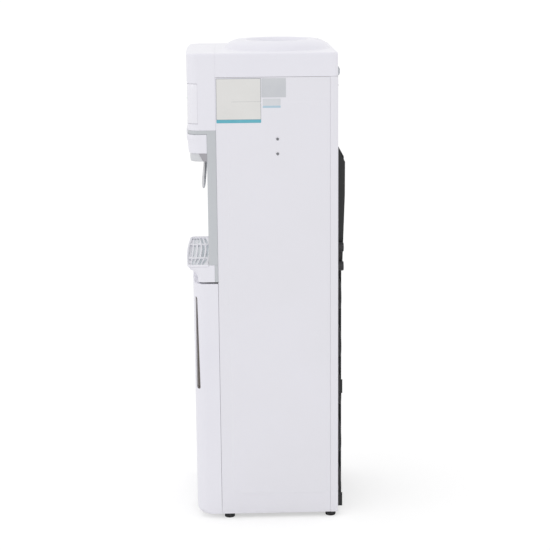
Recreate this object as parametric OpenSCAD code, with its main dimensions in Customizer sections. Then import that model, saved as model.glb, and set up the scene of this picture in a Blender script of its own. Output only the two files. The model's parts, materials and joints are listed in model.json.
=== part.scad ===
/* [Cabinet] */
// Width across the two side panels
body_w = 310; // [300:1:330]
// Depth from the front seam to the outer face of the back plate
cabinet_d = 247; // [242:1:265]
// Thickness of the painted steel sheet
sheet_t = 1; // [0.8:0.1:1.2]
// Thickness of the moulded plastic walls
wall_t = 2.5; // [2:0.1:3]
// Depth of the pressed field in each side panel
press_depth = 2.5; // [1.5:0.1:3]
// Gap between pieces that only seat on each other
seat_gap = 0.3; // [0.2:0.05:0.4]
// Width of the back plate's side flange, seen as a strip on each side
wrap_w = 16; // [12:1:20]

/* [Heights] */
// Height of the feet below the cabinet
foot_h = 10; // [8:1:14]
// Height of the door
door_h = 502.5; // [490:0.5:520]
// Gap between the door and the tray front
door_gap = 3.5; // [3.3:0.1:5]
// Height of the tray front
tray_h = 36; // [34:1:42]
// Free height between the tray rim and the tap skirt
niche_h = 214; // [205:1:230]
// Height of the grey skirt round the nozzles
skirt_h = 16; // [14:1:20]
// Height of the white tap housing
visor_h = 39; // [38:1:44]
// Height of the grey band
band_h = 8; // [7:0.5:12]
// Height of the front cover
cover_h = 153.5; // [145:0.5:170]
// Height of the top cover's side walls
lid_h = 47.8; // [40:0.1:55]
// Height of the bottle collar above the top
collar_h = 17.5; // [14:0.5:22]

/* [Fronts] */
// Distance from the seam to the front of the tray nose
tray_reach = 67; // [65:1:72]
// Distance from the seam to the front of the front cover
cover_reach = 59.5; // [57:0.5:62]
// Distance from the seam to the front of the tap housing
visor_reach = 59.5; // [56:0.5:60]
// Distance from the seam to the front of the door
door_reach = 54.5; // [52:0.5:60]
// Distance from the seam to the grey frame beside the niche
niche_reach = 18.5; // [17:0.5:20]
// Depth of the hollow behind the levers
niche_recess = 12; // [11.5:0.5:13]
// Bow of the front faces over the whole width
front_bow = 4.3; // [2:0.1:6]
// Radius of the front corners of the covers
cover_corner = 22; // [18:1:26]
// Radius of the tray's front corners
tray_corner = 12; // [10:1:16]
// Radius of the front corners of the door
door_corner = 25; // [22:1:27]
// Radius of the soft upper edges
edge_r = 3.5; // [3:0.5:6]

/* [Bottle seat] */
// Distance from the seam to the centre of the collar
well_from_seam = 130; // [126:1:136]
// Radius of the collar where it leaves the top
collar_base_r = 111; // [104:1:112]
// Outer radius of the collar's top
collar_top_r = 87; // [80:1:88]
// Radius of the well inside the collar
well_r = 72; // [70:1:74]
// Radius of the hollow that takes the bottle's neck
neck_r = 33; // [31:1:35]
// Radius of the probe that opens the bottle
probe_r = 11; // [9:1:13]
// Height that the probe stays below the collar's top
probe_drop = 15; // [12:1:20]

/* [Taps] */
// Distance between the taps
tap_pitch = 80; // [70:1:90]
// Height of the lever tips above the tray rim
lever_clear = 148; // [140:1:156]
// Thickness of a lever blade
lever_t = 5; // [4:0.5:6]
// Width of a lever blade
lever_w = 18; // [14:1:22]
// Radius of the tap's vertical barrel
barrel_r = 10; // [9:0.5:11]
// Radius of the threaded shank through the panel
shank_r = 7; // [6:0.5:8]
// Swing of a lever, in degrees
lever_swing = 8; // [5:1:8]

/* [Door] */
// Distance from the cabinet's side to the hinge axis
hinge_side = 7; // [6.5:0.5:7.5]
// Distance from the seam to the hinge axis
hinge_fore = 11; // [10.5:0.5:12]
// Radius of the hinge pins
hinge_pin_r = 2.5; // [2:0.1:3]
// Running clearance of every pin in its hole
pin_play = 0.05; // [0.03:0.01:0.08]
// Thickness of the hinge plates
hinge_t = 2; // [1.5:0.1:2.5]
// Gap between the door and the cabinet's front
door_back_gap = 0.8; // [0.6:0.1:1]
// Radius of the door's lower front edge
door_foot_r = 12; // [8:1:16]
// Height of the grip recess
grip_h = 198; // [170:1:220]
// Distance from the door's top to the grip recess
grip_drop = 28; // [20:1:40]
// Width of the grip recess at its lower end
grip_w = 8; // [7:0.5:9]

/* [Storage] */
// Height of the hump that clears the compressor
hump_h = 200; // [195:1:210]
// Depth of the storage space above the hump
store_d = 190; // [170:1:195]
// Depth of the storage space in front of the compressor
store_low_d = 98; // [90:1:102]

/* [Drip tray] */
// Depth of the slotted field below the rim of the grille
grille_drop = 1.5; // [1:0.1:1.8]
// Thickness of the grille
grille_t = 3.5; // [3:0.5:4]
// Distance between the slots of the grille
slot_pitch = 9.3; // [9.1:0.05:9.35]
// Width of one slot
slot_w = 4.4; // [3.8:0.1:4.6]
// Height of the drip basin's bowl
basin_h = 24; // [20:1:25]

/* [Tanks] */
// Radius of the cold water tank
cold_r = 70; // [66:1:72]
// Height of the cold water tank
cold_h = 180; // [170:1:186]
// Radius of the hot water tank
hot_r = 45; // [40:1:48]
// Height of the hot water tank
hot_h = 135; // [120:1:140]
// Radius of the evaporator tube
evap_r = 4; // [3:0.5:4.5]
// Turns of the evaporator tube
evap_turns = 7; // [5:1:8]

/* [Condenser] */
// Distance that the condenser stands behind the back plate
condenser_proud = 16; // [14:1:20]
// Distance that its lower half stands behind the back plate
condenser_low = 11; // [8.5:0.5:12]
// Radius of the condenser tube
cond_r = 2.4; // [2:0.1:2.6]
// Thickness of the condenser wires
wire_t = 1.5; // [1.2:0.1:1.6]
// Passes of the condenser tube
cond_passes = 15; // [13:2:15]
// Wires on each face of the condenser
wire_count = 25; // [15:2:29]

/* [Hidden] */
$fn = 48;
eps = 0.01;

// Places that follow from the widths and depths
half_w = body_w / 2;
total_d = tray_reach + cabinet_d + condenser_proud;
y_seam = tray_reach - total_d / 2;
y_back = y_seam + cabinet_d;
y_tray = y_seam - tray_reach;
y_cover = y_seam - cover_reach;
y_visor = y_seam - visor_reach;
y_door = y_seam - door_reach;
y_niche = y_seam - niche_reach;
y_recess = y_niche + niche_recess;
y_well = y_seam + well_from_seam;
y_wrap = y_back - wrap_w;

// Levels that follow from the heights
z_body = foot_h;
z_door = z_body + hinge_t + door_back_gap;
z_door_top = z_body + door_h;
z_tray = z_door_top + door_gap;
z_rim = z_tray + tray_h;
z_sill = z_rim - grille_t;
z_skirt = z_rim + niche_h;
z_visor = z_skirt + skirt_h;
z_band = z_visor + visor_h;
z_cover = z_band + band_h;
z_top = z_cover + cover_h;
z_lid = z_top - lid_h;
z_crown = z_top + collar_h;

// Arcs are drawn with these many steps
corner_steps = 7;
bow_steps = 8;
edge_steps = 4;

function unit(v) = v / norm(v);
function arc(c, r, a, b, n) =
    [for (i = [0:n]) c + r * [cos(a + (b - a) * i / n), sin(a + (b - a) * i / n)]];

// Plan of a bowed front with round corners: a wide circle for the face meets a small one at each side
function plan(back, front, corner, inset) =
    let (big = (half_w * half_w + front_bow * front_bow) / (2 * front_bow),
        cy = front + big,
        kx = half_w - corner,
        ky = cy - sqrt(pow(big - corner, 2) - kx * kx),
        lean = atan2(kx, cy - ky),
        face = arc([0, cy], big - inset, 270 - lean, 270 + lean, bow_steps))
    concat(
        [[-half_w + inset, back]],
        arc([-kx, ky], corner - inset, 180, 270 - lean, corner_steps),
        [for (i = [1:bow_steps - 1]) face[i]],
        arc([kx, ky], corner - inset, 270 + lean, 360, corner_steps),
        [[half_w - inset, back]]);

module block(low, high) {
    translate(low) cube(high - low);
}
module prism_x(points, x0, x1) {
    translate([x0, 0, 0]) rotate([90, 0, 90]) linear_extrude(x1 - x0) polygon(points);
}
module prism_y(points, y0, y1) {
    translate([0, y1, 0]) rotate([90, 0, 0]) linear_extrude(y1 - y0) polygon(points);
}
module prism_z(points, z0, z1) {
    translate([0, 0, z0]) linear_extrude(z1 - z0) polygon(points);
}
module rod_y(x, z, r, y0, y1) {
    translate([x, y1, z]) rotate([90, 0, 0]) cylinder(r = r, h = y1 - y0);
}
module rod_x(y, z, r, x0, x1) {
    translate([x0, y, z]) rotate([0, 90, 0]) cylinder(r = r, h = x1 - x0);
}
module rod_z(x, y, r, z0, z1) {
    translate([x, y, z0]) cylinder(r = r, h = z1 - z0);
}
module turned(x, y, points) {
    translate([x, y, 0]) rotate_extrude() polygon(points);
}

// A closed skin over rings of equally many points, each ring turning right-handed about the way it goes
module skin(rings) {
    n = len(rings[0]);
    m = len(rings);
    sides = [for (i = [0:m - 2], j = [0:n - 1])
        let (a = i * n + j, b = i * n + (j + 1) % n)
        each [[a, a + n, b], [b, a + n, b + n]]];
    ends = [[for (j = [0:n - 1]) j], [for (j = [n - 1:-1:0]) (m - 1) * n + j]];
    polyhedron([for (ring = rings) each ring], concat(sides, ends));
}

// A route with its corners rounded off by a length r, in n steps
function rounded(route, r, n = 5) = concat(
    [route[0]],
    [for (i = [1:len(route) - 2])
        let (p = route[i], a = p + r * unit(route[i - 1] - p), b = p + r * unit(route[i + 1] - p))
        each [for (k = [0:n]) let (s = k / n) (1 - s) * (1 - s) * a + 2 * s * (1 - s) * p + s * s * b]],
    [route[len(route) - 1]]);

// The side direction is carried along the route, so that the tube doesn't twist
function carried(ways, i, side) =
    let (next = unit(side - (side * ways[i]) * ways[i]))
    i == len(ways) - 1 ? [next] : concat([next], carried(ways, i + 1, next));
module tube(route, r, sides = 8) {
    last = len(route) - 1;
    ways = [for (i = [0:last]) unit(route[min(i + 1, last)] - route[max(i - 1, 0)])];
    us = carried(ways, 0, abs(ways[0].z) < 0.9 ? [0, 0, 1] : [1, 0, 0]);
    skin([for (i = [0:last])
        let (v = cross(ways[i], us[i]))
        [for (k = [0:sides - 1])
            route[i] + r * (cos(360 * k / sides) * us[i] + sin(360 * k / sides) * v)]]);
}

// Base: a folded steel pan that carries the compressor, with four pushed-in feet
pan_t = 1.5;
pan_lip = 7;
z_pan = z_body + hinge_t;
z_floor = z_pan + pan_t;
y_pan = y_seam + wall_t + seat_gap;
foot_r = 11;
foot_neck_r = 6;
foot_stud_r = 4;
foot_hole_r = foot_stud_r + 0.1;
foot_in = 12.5;
feet_at = [for (sx = [-1, 1], y = [y_seam + 16, y_back - 15.5]) [sx * (half_w - foot_in), y]];
comp_at = [20, y_back - 74];
mount_at = [for (sx = [-1, 1], sy = [-1, 1]) comp_at + [sx * 62, sy * 38]];
mount_hole_r = 4.1;

module base_pan() {
    color("gainsboro") difference() {
        block([-half_w + sheet_t, y_pan, z_pan], [half_w - sheet_t, y_back - sheet_t, z_floor + pan_lip]);
        block([-half_w + sheet_t + pan_t, y_pan - 1, z_floor],
            [half_w - sheet_t - pan_t, y_back - sheet_t - pan_t, z_floor + pan_lip + 1]);
        for (p = feet_at) rod_z(p.x, p.y, foot_hole_r, z_pan - 1, z_floor + 1);
        for (p = mount_at) rod_z(p.x, p.y, mount_hole_r, z_pan - 1, z_floor + 1);
    }
}

module feet() {
    color("black") for (p = feet_at)
        turned(p.x, p.y, [[0, 0], [foot_r - 1, 0], [foot_r, 1], [foot_r, z_body], [foot_neck_r, z_body],
            [foot_neck_r, z_pan], [foot_stud_r, z_pan], [foot_stud_r, z_floor + seat_gap],
            [foot_stud_r + 1, z_floor + seat_gap], [foot_stud_r, z_floor + 4], [0, z_floor + 4]]);
}

// Side panels: painted sheet with a folded front edge and a shallow pressed field
front_lip = 14;
press_low = 42;
press_high = 45.7;
press_fore = 24.5;
press_aft = 32;
press_slope = 14;
side_screw_y = y_seam + 124.5;
side_screw_z = [z_top - 172.5, z_top - 202.5];
screw_r = 1.9;
screw_hole_r = screw_r + 0.2;
inside_w = half_w - sheet_t - press_depth;

function press_ring(x, shrink) = [
    [x, y_seam + press_fore + shrink, z_body + press_low + shrink],
    [x, y_back - press_aft - shrink, z_body + press_low + shrink],
    [x, y_back - press_aft - shrink, z_lid - press_high - shrink],
    [x, y_seam + press_fore + shrink, z_lid - press_high - shrink]];

module side_panel() {
    difference() {
        union() {
            block([half_w - sheet_t, y_seam, z_body], [half_w, y_wrap - seat_gap, z_lid]);
            block([half_w - front_lip, y_seam, z_floor + seat_gap], [half_w, y_seam + sheet_t, z_lid]);
            block([half_w - 2 * sheet_t, y_wrap - 8, z_floor + pan_lip + 2],
                [half_w - sheet_t, y_back - sheet_t - seat_gap, z_lid - 15]);
            skin([press_ring(half_w - sheet_t - press_depth, press_slope),
                press_ring(half_w - sheet_t, 0)]);
        }
        skin([press_ring(half_w - press_depth, press_slope), press_ring(half_w + eps, 0)]);
        block([half_w - front_lip - 1, y_seam - 1, z_door_top], [half_w - sheet_t, y_seam + 2, z_tray + 2]);
        for (z = side_screw_z) rod_x(side_screw_y, z, screw_hole_r, half_w - 10, half_w + 1);
    }
}
module side_panel_right() {
    color("whitesmoke") side_panel();
}
module side_panel_left() {
    color("whitesmoke") mirror([1, 0, 0]) side_panel();
}

// Back plate: sheet with side flanges, air slots and the holes for drains, switches and lead
rear_screw_at = [for (sx = [-1, 1], z = [z_body + 50, z_body + 320, z_rim + 88, z_lid - 18.7])
    [sx * (half_w - 15), z]];
drain_x = half_w - 17;
drain_z = [z_tray + 27, z_tray + 67];
drain_r = 5;
drain_hole_r = drain_r + 0.3;
gland_at = [-half_w + 22, z_body + 65];
gland_r = 7;
bezel_at = [-half_w + 70, z_lid - 70];
bezel_w = 62;
bezel_h = 34;
bezel_step = 4.3;
bezel_deep = 22;
rocker_w = 15;
rocker_h = 22;
rocker_x = [bezel_at.x - 13, bezel_at.x + 13];
slot_row_w = 80;

module back_plate() {
    color("gainsboro") difference() {
        block([-half_w, y_wrap, z_body], [half_w, y_back, z_lid]);
        block([-half_w + sheet_t, y_wrap - 1, z_body - 1], [half_w - sheet_t, y_back - sheet_t, z_lid + 1]);
        for (sx = [-1, 1], row = [0:7])
            block([sx * 50 - slot_row_w / 2, y_back - 2, z_body + 50 + 22 * row],
                [sx * 50 + slot_row_w / 2, y_back + 1, z_body + 57 + 22 * row]);
        for (row = [0:4])
            block([20, y_back - 2, z_lid - 90 + 14 * row],
                [20 + slot_row_w, y_back + 1, z_lid - 85 + 14 * row]);
        for (z = drain_z) rod_y(drain_x, z, drain_hole_r, y_back - 2, y_back + 1);
        rod_y(gland_at.x, gland_at.y, gland_r + 0.2, y_back - 2, y_back + 1);
        block([bezel_at.x - bezel_w / 2 + 4, y_back - 2, bezel_at.y - bezel_h / 2 + 4],
            [bezel_at.x + bezel_w / 2 - 4, y_back + 1, bezel_at.y + bezel_h / 2 - 4]);
        for (p = rear_screw_at) rod_y(p.x, p.y, screw_hole_r, y_back - 2, y_back + 1);
        for (x = [pipe_out_x, -pipe_out_x]) rod_y(x, pipe_out_z, 5, y_back - 2, y_back + 1);
    }
}

// Screws: dome heads on the side panels and on the back plate, each with its shank through the sheet
head_r = 3;
head_t = 1.6;
shank_l = 7;
module screw() {
    rotate_extrude() polygon(concat([[0, -shank_l], [screw_r, -shank_l], [screw_r, 0]],
        [for (i = [0:4]) [head_r * cos(22.5 * i), head_t * sin(22.5 * i)]]));
}
module panel_screws() {
    color("silver") {
        for (sx = [-1, 1], z = side_screw_z)
            translate([sx * (half_w - press_depth), side_screw_y, z]) rotate([0, sx * 90, 0]) screw();
        for (p = rear_screw_at) translate([p.x, y_back, p.y]) rotate([-90, 0, 0]) screw();
    }
}

// Lid clips: dark snap hooks that hold the top cover down over the back plate
clip_x = half_w - 40;
clip_t = 5.5;
module lid_clips() {
    color("dimgray") for (sx = [-1, 1])
        prism_x([[y_back, z_lid - 1], [y_back + clip_t - 2, z_lid - 1], [y_back + clip_t, z_lid + 4],
            [y_back + clip_t, z_lid + 12], [y_back + 2, z_lid + 18], [y_back, z_lid + 18]],
            sx * clip_x - 8, sx * clip_x + 8);
}

// Steel shelf above the storage space, and the bracket under the cold tank
shelf_t = 1.5;
shelf_lip = 16;
z_shelf = z_tray - 0.8;
pipe_x = cold_r + evap_r + 1.3;
pipe_y = y_back - 28;
module mid_shelf() {
    color("silver") difference() {
        block([-inside_w, y_seam + 1 + seat_gap, z_shelf],
            [inside_w, y_back - sheet_t, z_shelf + shelf_t + shelf_lip]);
        block([-inside_w + shelf_t, y_seam, z_shelf + shelf_t],
            [inside_w - shelf_t, y_back - sheet_t - shelf_t, z_shelf + shelf_t + shelf_lip + 1]);
        for (z = drain_z) rod_y(drain_x, z, drain_hole_r + 2, y_back - 5, y_back + 1);
        rod_z(pipe_x, pipe_y, 6, z_shelf - 1, z_shelf + 5);
    }
}

z_bracket = z_lid - cold_h - 21.2;
ear_w = 30;
ear_h = side_screw_z[0] + 10 - z_bracket;
module tank_bracket() {
    color("silver") difference() {
        union() {
            block([-inside_w, y_seam + 20, z_bracket], [inside_w, y_back - 8, z_bracket + shelf_t]);
            for (sx = [-1, 1])
                translate([sx * (inside_w - shelf_t / 2), side_screw_y, z_bracket])
                    block([-shelf_t / 2, -ear_w / 2, 0], [shelf_t / 2, ear_w / 2, ear_h]);
        }
        rod_z(0, y_well, 34, z_bracket - 1, z_bracket + 5);
        rod_z(pipe_x, y_well, 7, z_bracket - 1, z_bracket + 5);
        for (z = side_screw_z) rod_x(side_screw_y, z, screw_hole_r, -half_w, half_w);
    }
}

// Top cover: white shell with soft edges, a raised collar and the well for the bottle seat
lid_corner = 9;
lid_lip = 10;
seat_flange = 2.5;
z_collar = z_crown - seat_flange - seat_gap;
collar_rise = z_collar - z_top;
well_floor = 15;
function lid_plan(inset) = concat(
    [[-half_w + inset, y_seam + inset], [half_w - inset, y_seam + inset]],
    arc([half_w - lid_corner, y_back - lid_corner], lid_corner - inset, 0, 90, corner_steps),
    arc([-half_w + lid_corner, y_back - lid_corner], lid_corner - inset, 90, 180, corner_steps));
function roof(half, base, inset) = concat(
    [[-half + inset, base], [half - inset, base]],
    arc([half - edge_r, z_top - edge_r], edge_r - inset, 0, 90, edge_steps),
    arc([-half + edge_r, z_top - edge_r], edge_r - inset, 90, 180, edge_steps));
module lid_form(inset, base) {
    intersection() {
        prism_z(lid_plan(inset), base, z_top - inset);
        prism_y(roof(half_w, base, inset), y_seam - 1, y_back + 1);
        prism_x(concat([[y_seam - 1, base], [y_back - inset, base]],
            arc([y_back - edge_r, z_top - edge_r], edge_r - inset, 0, 90, edge_steps),
            [[y_seam - 1, z_top - inset]]), -half_w, half_w);
    }
}
module top_cover() {
    lip = sheet_t + seat_gap;
    color("white") union() {
        difference() {
            lid_form(0, z_lid);
            lid_form(wall_t, z_lid - 1);
            rod_z(0, y_well, collar_base_r - wall_t, z_top - 10, z_top + 1);
        }
        difference() {
            block([-half_w + lip, y_seam + lip, z_lid - lid_lip], [half_w - lip, y_back - lip, z_lid + 4]);
            block([-half_w + lip + 2, y_seam + lip + 2, z_lid - lid_lip - 1],
                [half_w - lip - 2, y_back - lip - 2, z_lid + 5]);
            block([half_w - front_lip - seat_gap, y_seam, z_lid - lid_lip - 1],
                [half_w, y_seam + lip, z_lid]);
        }
        turned(0, y_well, [[collar_base_r, z_top - wall_t], [collar_base_r, z_top],
            [collar_base_r - 5, z_top + collar_rise * 0.5], [collar_base_r - 10, z_top + collar_rise * 0.78],
            [collar_top_r + 4, z_collar - 0.8], [collar_top_r, z_collar], [well_r, z_collar],
            [well_r, z_lid + 4], [well_r - well_floor, z_lid + 4], [well_r - well_floor, z_lid + 1.5],
            [well_r + wall_t, z_lid + 1.5], [well_r + wall_t, z_collar - wall_t],
            [collar_top_r - 1, z_collar - wall_t], [collar_base_r - wall_t - 1, z_top - wall_t]]);
    }
}

// Bottle seat: lift-out funnel with a socket for the neck and the hollow probe that opens the cap
seat_wall = 2.5;
z_socket = z_lid - 19.7;
z_probe = z_crown - probe_drop;
module bottle_seat() {
    color("white") difference() {
        union() {
            turned(0, y_well, [[0, z_socket], [neck_r + seat_wall, z_socket],
                [neck_r + seat_wall, z_lid + 20], [well_r - 4, z_collar + seat_gap],
                [collar_top_r, z_collar + seat_gap], [collar_top_r - 0.6, z_crown - 1.3],
                [collar_top_r - 2.6, z_crown], [well_r - 7, z_crown],
                [neck_r, z_lid + 22], [neck_r, z_socket + 3], [0, z_socket + 3]]);
            turned(0, y_well, concat([[0, z_socket]], [[probe_r, z_socket], [probe_r, z_probe - probe_r]],
                [for (i = [1:5]) [probe_r * cos(15 * i), z_probe - probe_r + probe_r * sin(15 * i)]],
                [[0, z_probe]]));
        }
        rod_z(0, y_well, probe_r - 3, z_socket - 1, z_probe - probe_r);
        rod_x(y_well, z_probe - probe_r - 6, 3.5, -probe_r - 1, probe_r + 1);
        for (i = [0:5]) rod_z(22 * cos(60 * i), y_well + 22 * sin(60 * i), 4, z_socket - 1, z_socket + 4);
    }
}

// Front cover: white shell round the front corners, with a shallow pocket for the display panel
cover_wall = 3;
pocket_d = 1.8;
panel_low = 13;
panel_high = 59.5;
panel_wrap = 24;
lamp_x = [-30, 0, 30];
z_lamp = z_top - 100;
lamp_r = 2.5;
board_gap = 8;
y_board = y_cover + cover_wall + board_gap;
module cover_form(inset, base, back) {
    intersection() {
        prism_z(plan(back, y_cover, cover_corner, inset), base, z_top - inset);
        prism_y(roof(half_w, base, inset), y_cover - 1, back);
        prism_x(concat([[back, z_top - inset]],
            arc([y_cover + edge_r, z_top - edge_r], edge_r - inset, 90, 180, edge_steps),
            [[y_cover + inset, base], [back, base]]), -half_w, half_w);
    }
}
module display_zone(outer, inner, shrink) {
    difference() {
        prism_z(plan(y_seam, y_cover, cover_corner, outer),
            z_cover + panel_low + shrink, z_top - panel_high - shrink);
        prism_z(plan(y_seam + 1, y_cover, cover_corner, inner),
            z_cover + panel_low - 1, z_top - panel_high + 1);
        block([-half_w - 2, y_cover + panel_wrap - shrink, z_cover], [half_w + 2, y_seam + 2, z_top]);
    }
}
module front_cover() {
    color("white") difference() {
        union() {
            difference() {
                cover_form(0, z_cover, y_seam);
                cover_form(cover_wall, z_cover - 1, y_seam + 1);
            }
            for (sx = [-1, 1])
                rod_y(sx * 42, z_lamp, 4, y_cover + cover_wall - 1, y_board);
        }
        display_zone(-1, pocket_d, 0);
        for (x = lamp_x) rod_y(x, z_lamp, lamp_r + 0.1, y_cover - 1, y_board);
    }
}
module display_panel() {
    color("whitesmoke") difference() {
        display_zone(seat_gap, pocket_d - 0.05, seat_gap);
        for (x = lamp_x) rod_y(x, z_lamp, lamp_r + 0.1, y_cover - 1, y_board);
    }
}
module indicator_lenses() {
    color("palegreen") for (x = lamp_x)
        rod_y(x, z_lamp, lamp_r, y_cover + seat_gap, y_board - seat_gap);
}
module light_board() {
    color("seagreen") block([-50, y_board, z_lamp - 15], [50, y_board + 1.6, z_lamp + 15]);
}

// Grey frame: the wall of the dispensing niche, hollow behind the levers, with the band above it
frame_side = 35;
recess_w = half_w - frame_side;
low_reach = 7;
y_apron = y_seam - low_reach;
tap_x = [tap_pitch, 0, -tap_pitch];
z_shank = z_visor + 2;
shank_hole_r = shank_r + 0.3;
module niche_panel() {
    color("lightgray") difference() {
        union() {
            difference() {
                block([-half_w, y_niche, z_sill], [half_w, y_seam, z_band]);
                block([-half_w + wall_t, y_niche + wall_t, z_sill + wall_t],
                    [half_w - wall_t, y_seam + 1, z_band + 1]);
            }
            block([-recess_w - wall_t, y_niche, z_sill],
                [recess_w + wall_t, y_recess + wall_t, z_band]);
            difference() {
                block([-half_w, y_apron, z_tray], [half_w, y_seam, z_sill + 1]);
                block([-half_w + wall_t, y_apron + wall_t, z_tray - 1],
                    [half_w - wall_t, y_seam + 1, z_sill + 2]);
            }
            difference() {
                prism_z(plan(y_seam, y_cover, cover_corner, 0), z_band, z_cover);
                prism_z(plan(y_seam + 1, y_cover, cover_corner, wall_t), z_band + wall_t, z_cover + 1);
                block([-half_w + wall_t, y_recess + wall_t, z_band - 1],
                    [half_w - wall_t, y_seam + 1, z_cover]);
            }
        }
        block([-recess_w, y_niche - 1, z_sill + wall_t], [recess_w, y_recess, z_band - 4]);
        for (x = tap_x) rod_y(x, z_shank, shank_hole_r, y_recess - 1, y_recess + wall_t + 1);
    }
}

// Tap housing and the grey skirt under it, both leaning back towards their lower edge
visor_lean = 4;
skirt_lean = 2;
skirt_hole = 32;
module leaning_shell(front, z0, z1, lean, deck_low, deck_high) {
    difference() {
        intersection() {
            prism_z(plan(y_niche, front, cover_corner, 0), z0, z1);
            prism_x([[y_niche, z0], [front + lean, z0], [front, z1], [y_niche, z1]], -half_w, half_w);
        }
        intersection() {
            prism_z(plan(y_niche + 1, front, cover_corner, wall_t), z0 + deck_low, z1 - deck_high);
            prism_x([[y_niche + 1, z0 - 1], [front + lean + wall_t, z0 - 1], [front + wall_t, z1 + 1],
                [y_niche + 1, z1 + 1]], -half_w, half_w);
        }
    }
}
module tap_housing() {
    color("white") leaning_shell(y_visor, z_visor, z_band, visor_lean, -1, wall_t);
}
module tap_skirt() {
    color("darkgray") difference() {
        leaning_shell(y_visor + visor_lean, z_skirt, z_visor, skirt_lean, wall_t, -1);
        for (x = tap_x)
            block([x - skirt_hole / 2, y_visor + visor_lean + skirt_lean + 4, z_skirt - 1],
                [x + skirt_hole / 2, y_niche + 1, z_skirt + 5]);
    }
}

// Taps: a barrel with a nozzle, a shank through the panel with its nut, and a lug that holds the pivot pin
y_barrel = y_seam - 36;
y_pivot = y_seam - 25;
z_pivot = z_visor + 14;
z_barrel_top = z_visor + 18;
z_nozzle = z_skirt + 2;
pivot_r = 1.55;
lug_w = 17;
fork_w = 3.4;
fork_gap = 0.3;
stem_r = 4;
nozzle_r = 7;
y_shank_end = y_seam + 4;
nut_h = 6;
module tap_body(x) {
    pin_half = lug_w / 2 + fork_gap + fork_w;
    color("white") {
        difference() {
            union() {
                rod_z(x, y_barrel, barrel_r, z_shank - shank_r - 2, z_barrel_top);
                rod_z(x, y_barrel, nozzle_r, z_nozzle, z_shank);
                rod_y(x, z_shank, shank_r, y_barrel, y_shank_end);
                block([x - lug_w / 2, y_barrel, z_shank], [x + lug_w / 2, y_pivot + 4, z_barrel_top]);
                rod_x(y_pivot, z_pivot, pivot_r, x - pin_half, x + pin_half);
            }
            rod_z(x, y_barrel, stem_r + pin_play, z_shank - 6, z_barrel_top + 1);
            rod_z(x, y_barrel, 5, z_nozzle - 1, z_shank - 6);
            rod_y(x, z_shank, 3.5, y_barrel, y_shank_end + 1);
        }
        difference() {
            translate([x, y_recess + wall_t + nut_h, z_shank]) rotate([90, 0, 0])
                cylinder(r = shank_r + 5, h = nut_h, $fn = 6);
            rod_y(x, z_shank, shank_r + pin_play, y_recess, y_seam + 10);
        }
    }
}
module tap_body_cold() { tap_body(tap_x[0]); }
module tap_body_room() { tap_body(tap_x[1]); }
module tap_body_hot() { tap_body(tap_x[2]); }

// Levers: a curved blade below, a fork round the shank, and a finger that pushes the valve stem down
z_tip = z_rim + lever_clear;
z_blade = z_shank - shank_r - 3;
tip_reach = 4;
push = (y_pivot - y_barrel) * tan(lever_swing);
finger_low = z_barrel_top + push + 2.5;
finger_high = finger_low + 4;
function blade_y(t) = y_seam - 24 - tip_reach * t * t;
module tap_lever(x) {
    arm_in = lug_w / 2 + fork_gap;
    arm_out = arm_in + fork_w;
    steps = 8;
    drop = (z_blade - z_tip) / steps;
    color("gray") difference() {
        union() {
            prism_x(concat(
                [for (i = [0:steps]) [blade_y(i / steps) - lever_t / 2, z_blade - drop * i]],
                [for (i = [steps:-1:0]) [blade_y(i / steps) + lever_t / 2, z_blade - drop * i]]),
                x - lever_w / 2, x + lever_w / 2);
            block([x - arm_out, y_pivot - 3, z_blade - 5], [x + arm_out, y_pivot + 3, z_blade]);
            for (sx = [-1, 1])
                translate([x + sx * (arm_in + fork_w / 2), 0, 0])
                    block([-fork_w / 2, y_pivot - 3, z_blade - 5], [fork_w / 2, y_pivot + 3, finger_high]);
            block([x - arm_out, y_pivot - 3, finger_low], [x + arm_out, y_pivot + 3, finger_high]);
            block([x - 4, y_barrel - 1, finger_low], [x + 4, y_pivot, finger_high]);
        }
        rod_x(y_pivot, z_pivot, pivot_r + pin_play, x - half_w, x + half_w);
    }
}
module tap_lever_cold() { tap_lever(tap_x[0]); }
module tap_lever_room() { tap_lever(tap_x[1]); }
module tap_lever_hot() { tap_lever(tap_x[2]); }

module tap_valve(x) {
    color("ivory") union() {
        rod_z(x, y_barrel, stem_r, z_shank + shank_r - 3, finger_low - seat_gap - 1);
        rod_z(x, y_barrel, stem_r - 0.5, z_barrel_top, finger_low - seat_gap);
    }
}
module tap_valve_cold() { tap_valve(tap_x[0]); }
module tap_valve_room() { tap_valve(tap_x[1]); }
module tap_valve_hot() { tap_valve(tap_x[2]); }

// Tray front: a white nose that curves back under itself, with a stepped well for the basin
nose_steps = 8;
nose_low = y_seam - 45;
nose_high = y_tray + 1.5;
z_nose = z_sill - seat_gap;
flange_t = 1.5;
flange_gap = 0.6;
tray_inset = 6.4;
z_ledge = z_nose - flange_t - 1.3;
z_flange = z_ledge + seat_gap;
z_well = z_tray + 3;
z_bowl = z_flange + flange_t - basin_h;
y_bowl = [nose_low + 4, y_niche - 0.7];
bowl_w = half_w - 15;
bowl_draft = 8;
bowl_wall = 2;
bowl_gap = 0.7;
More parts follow.
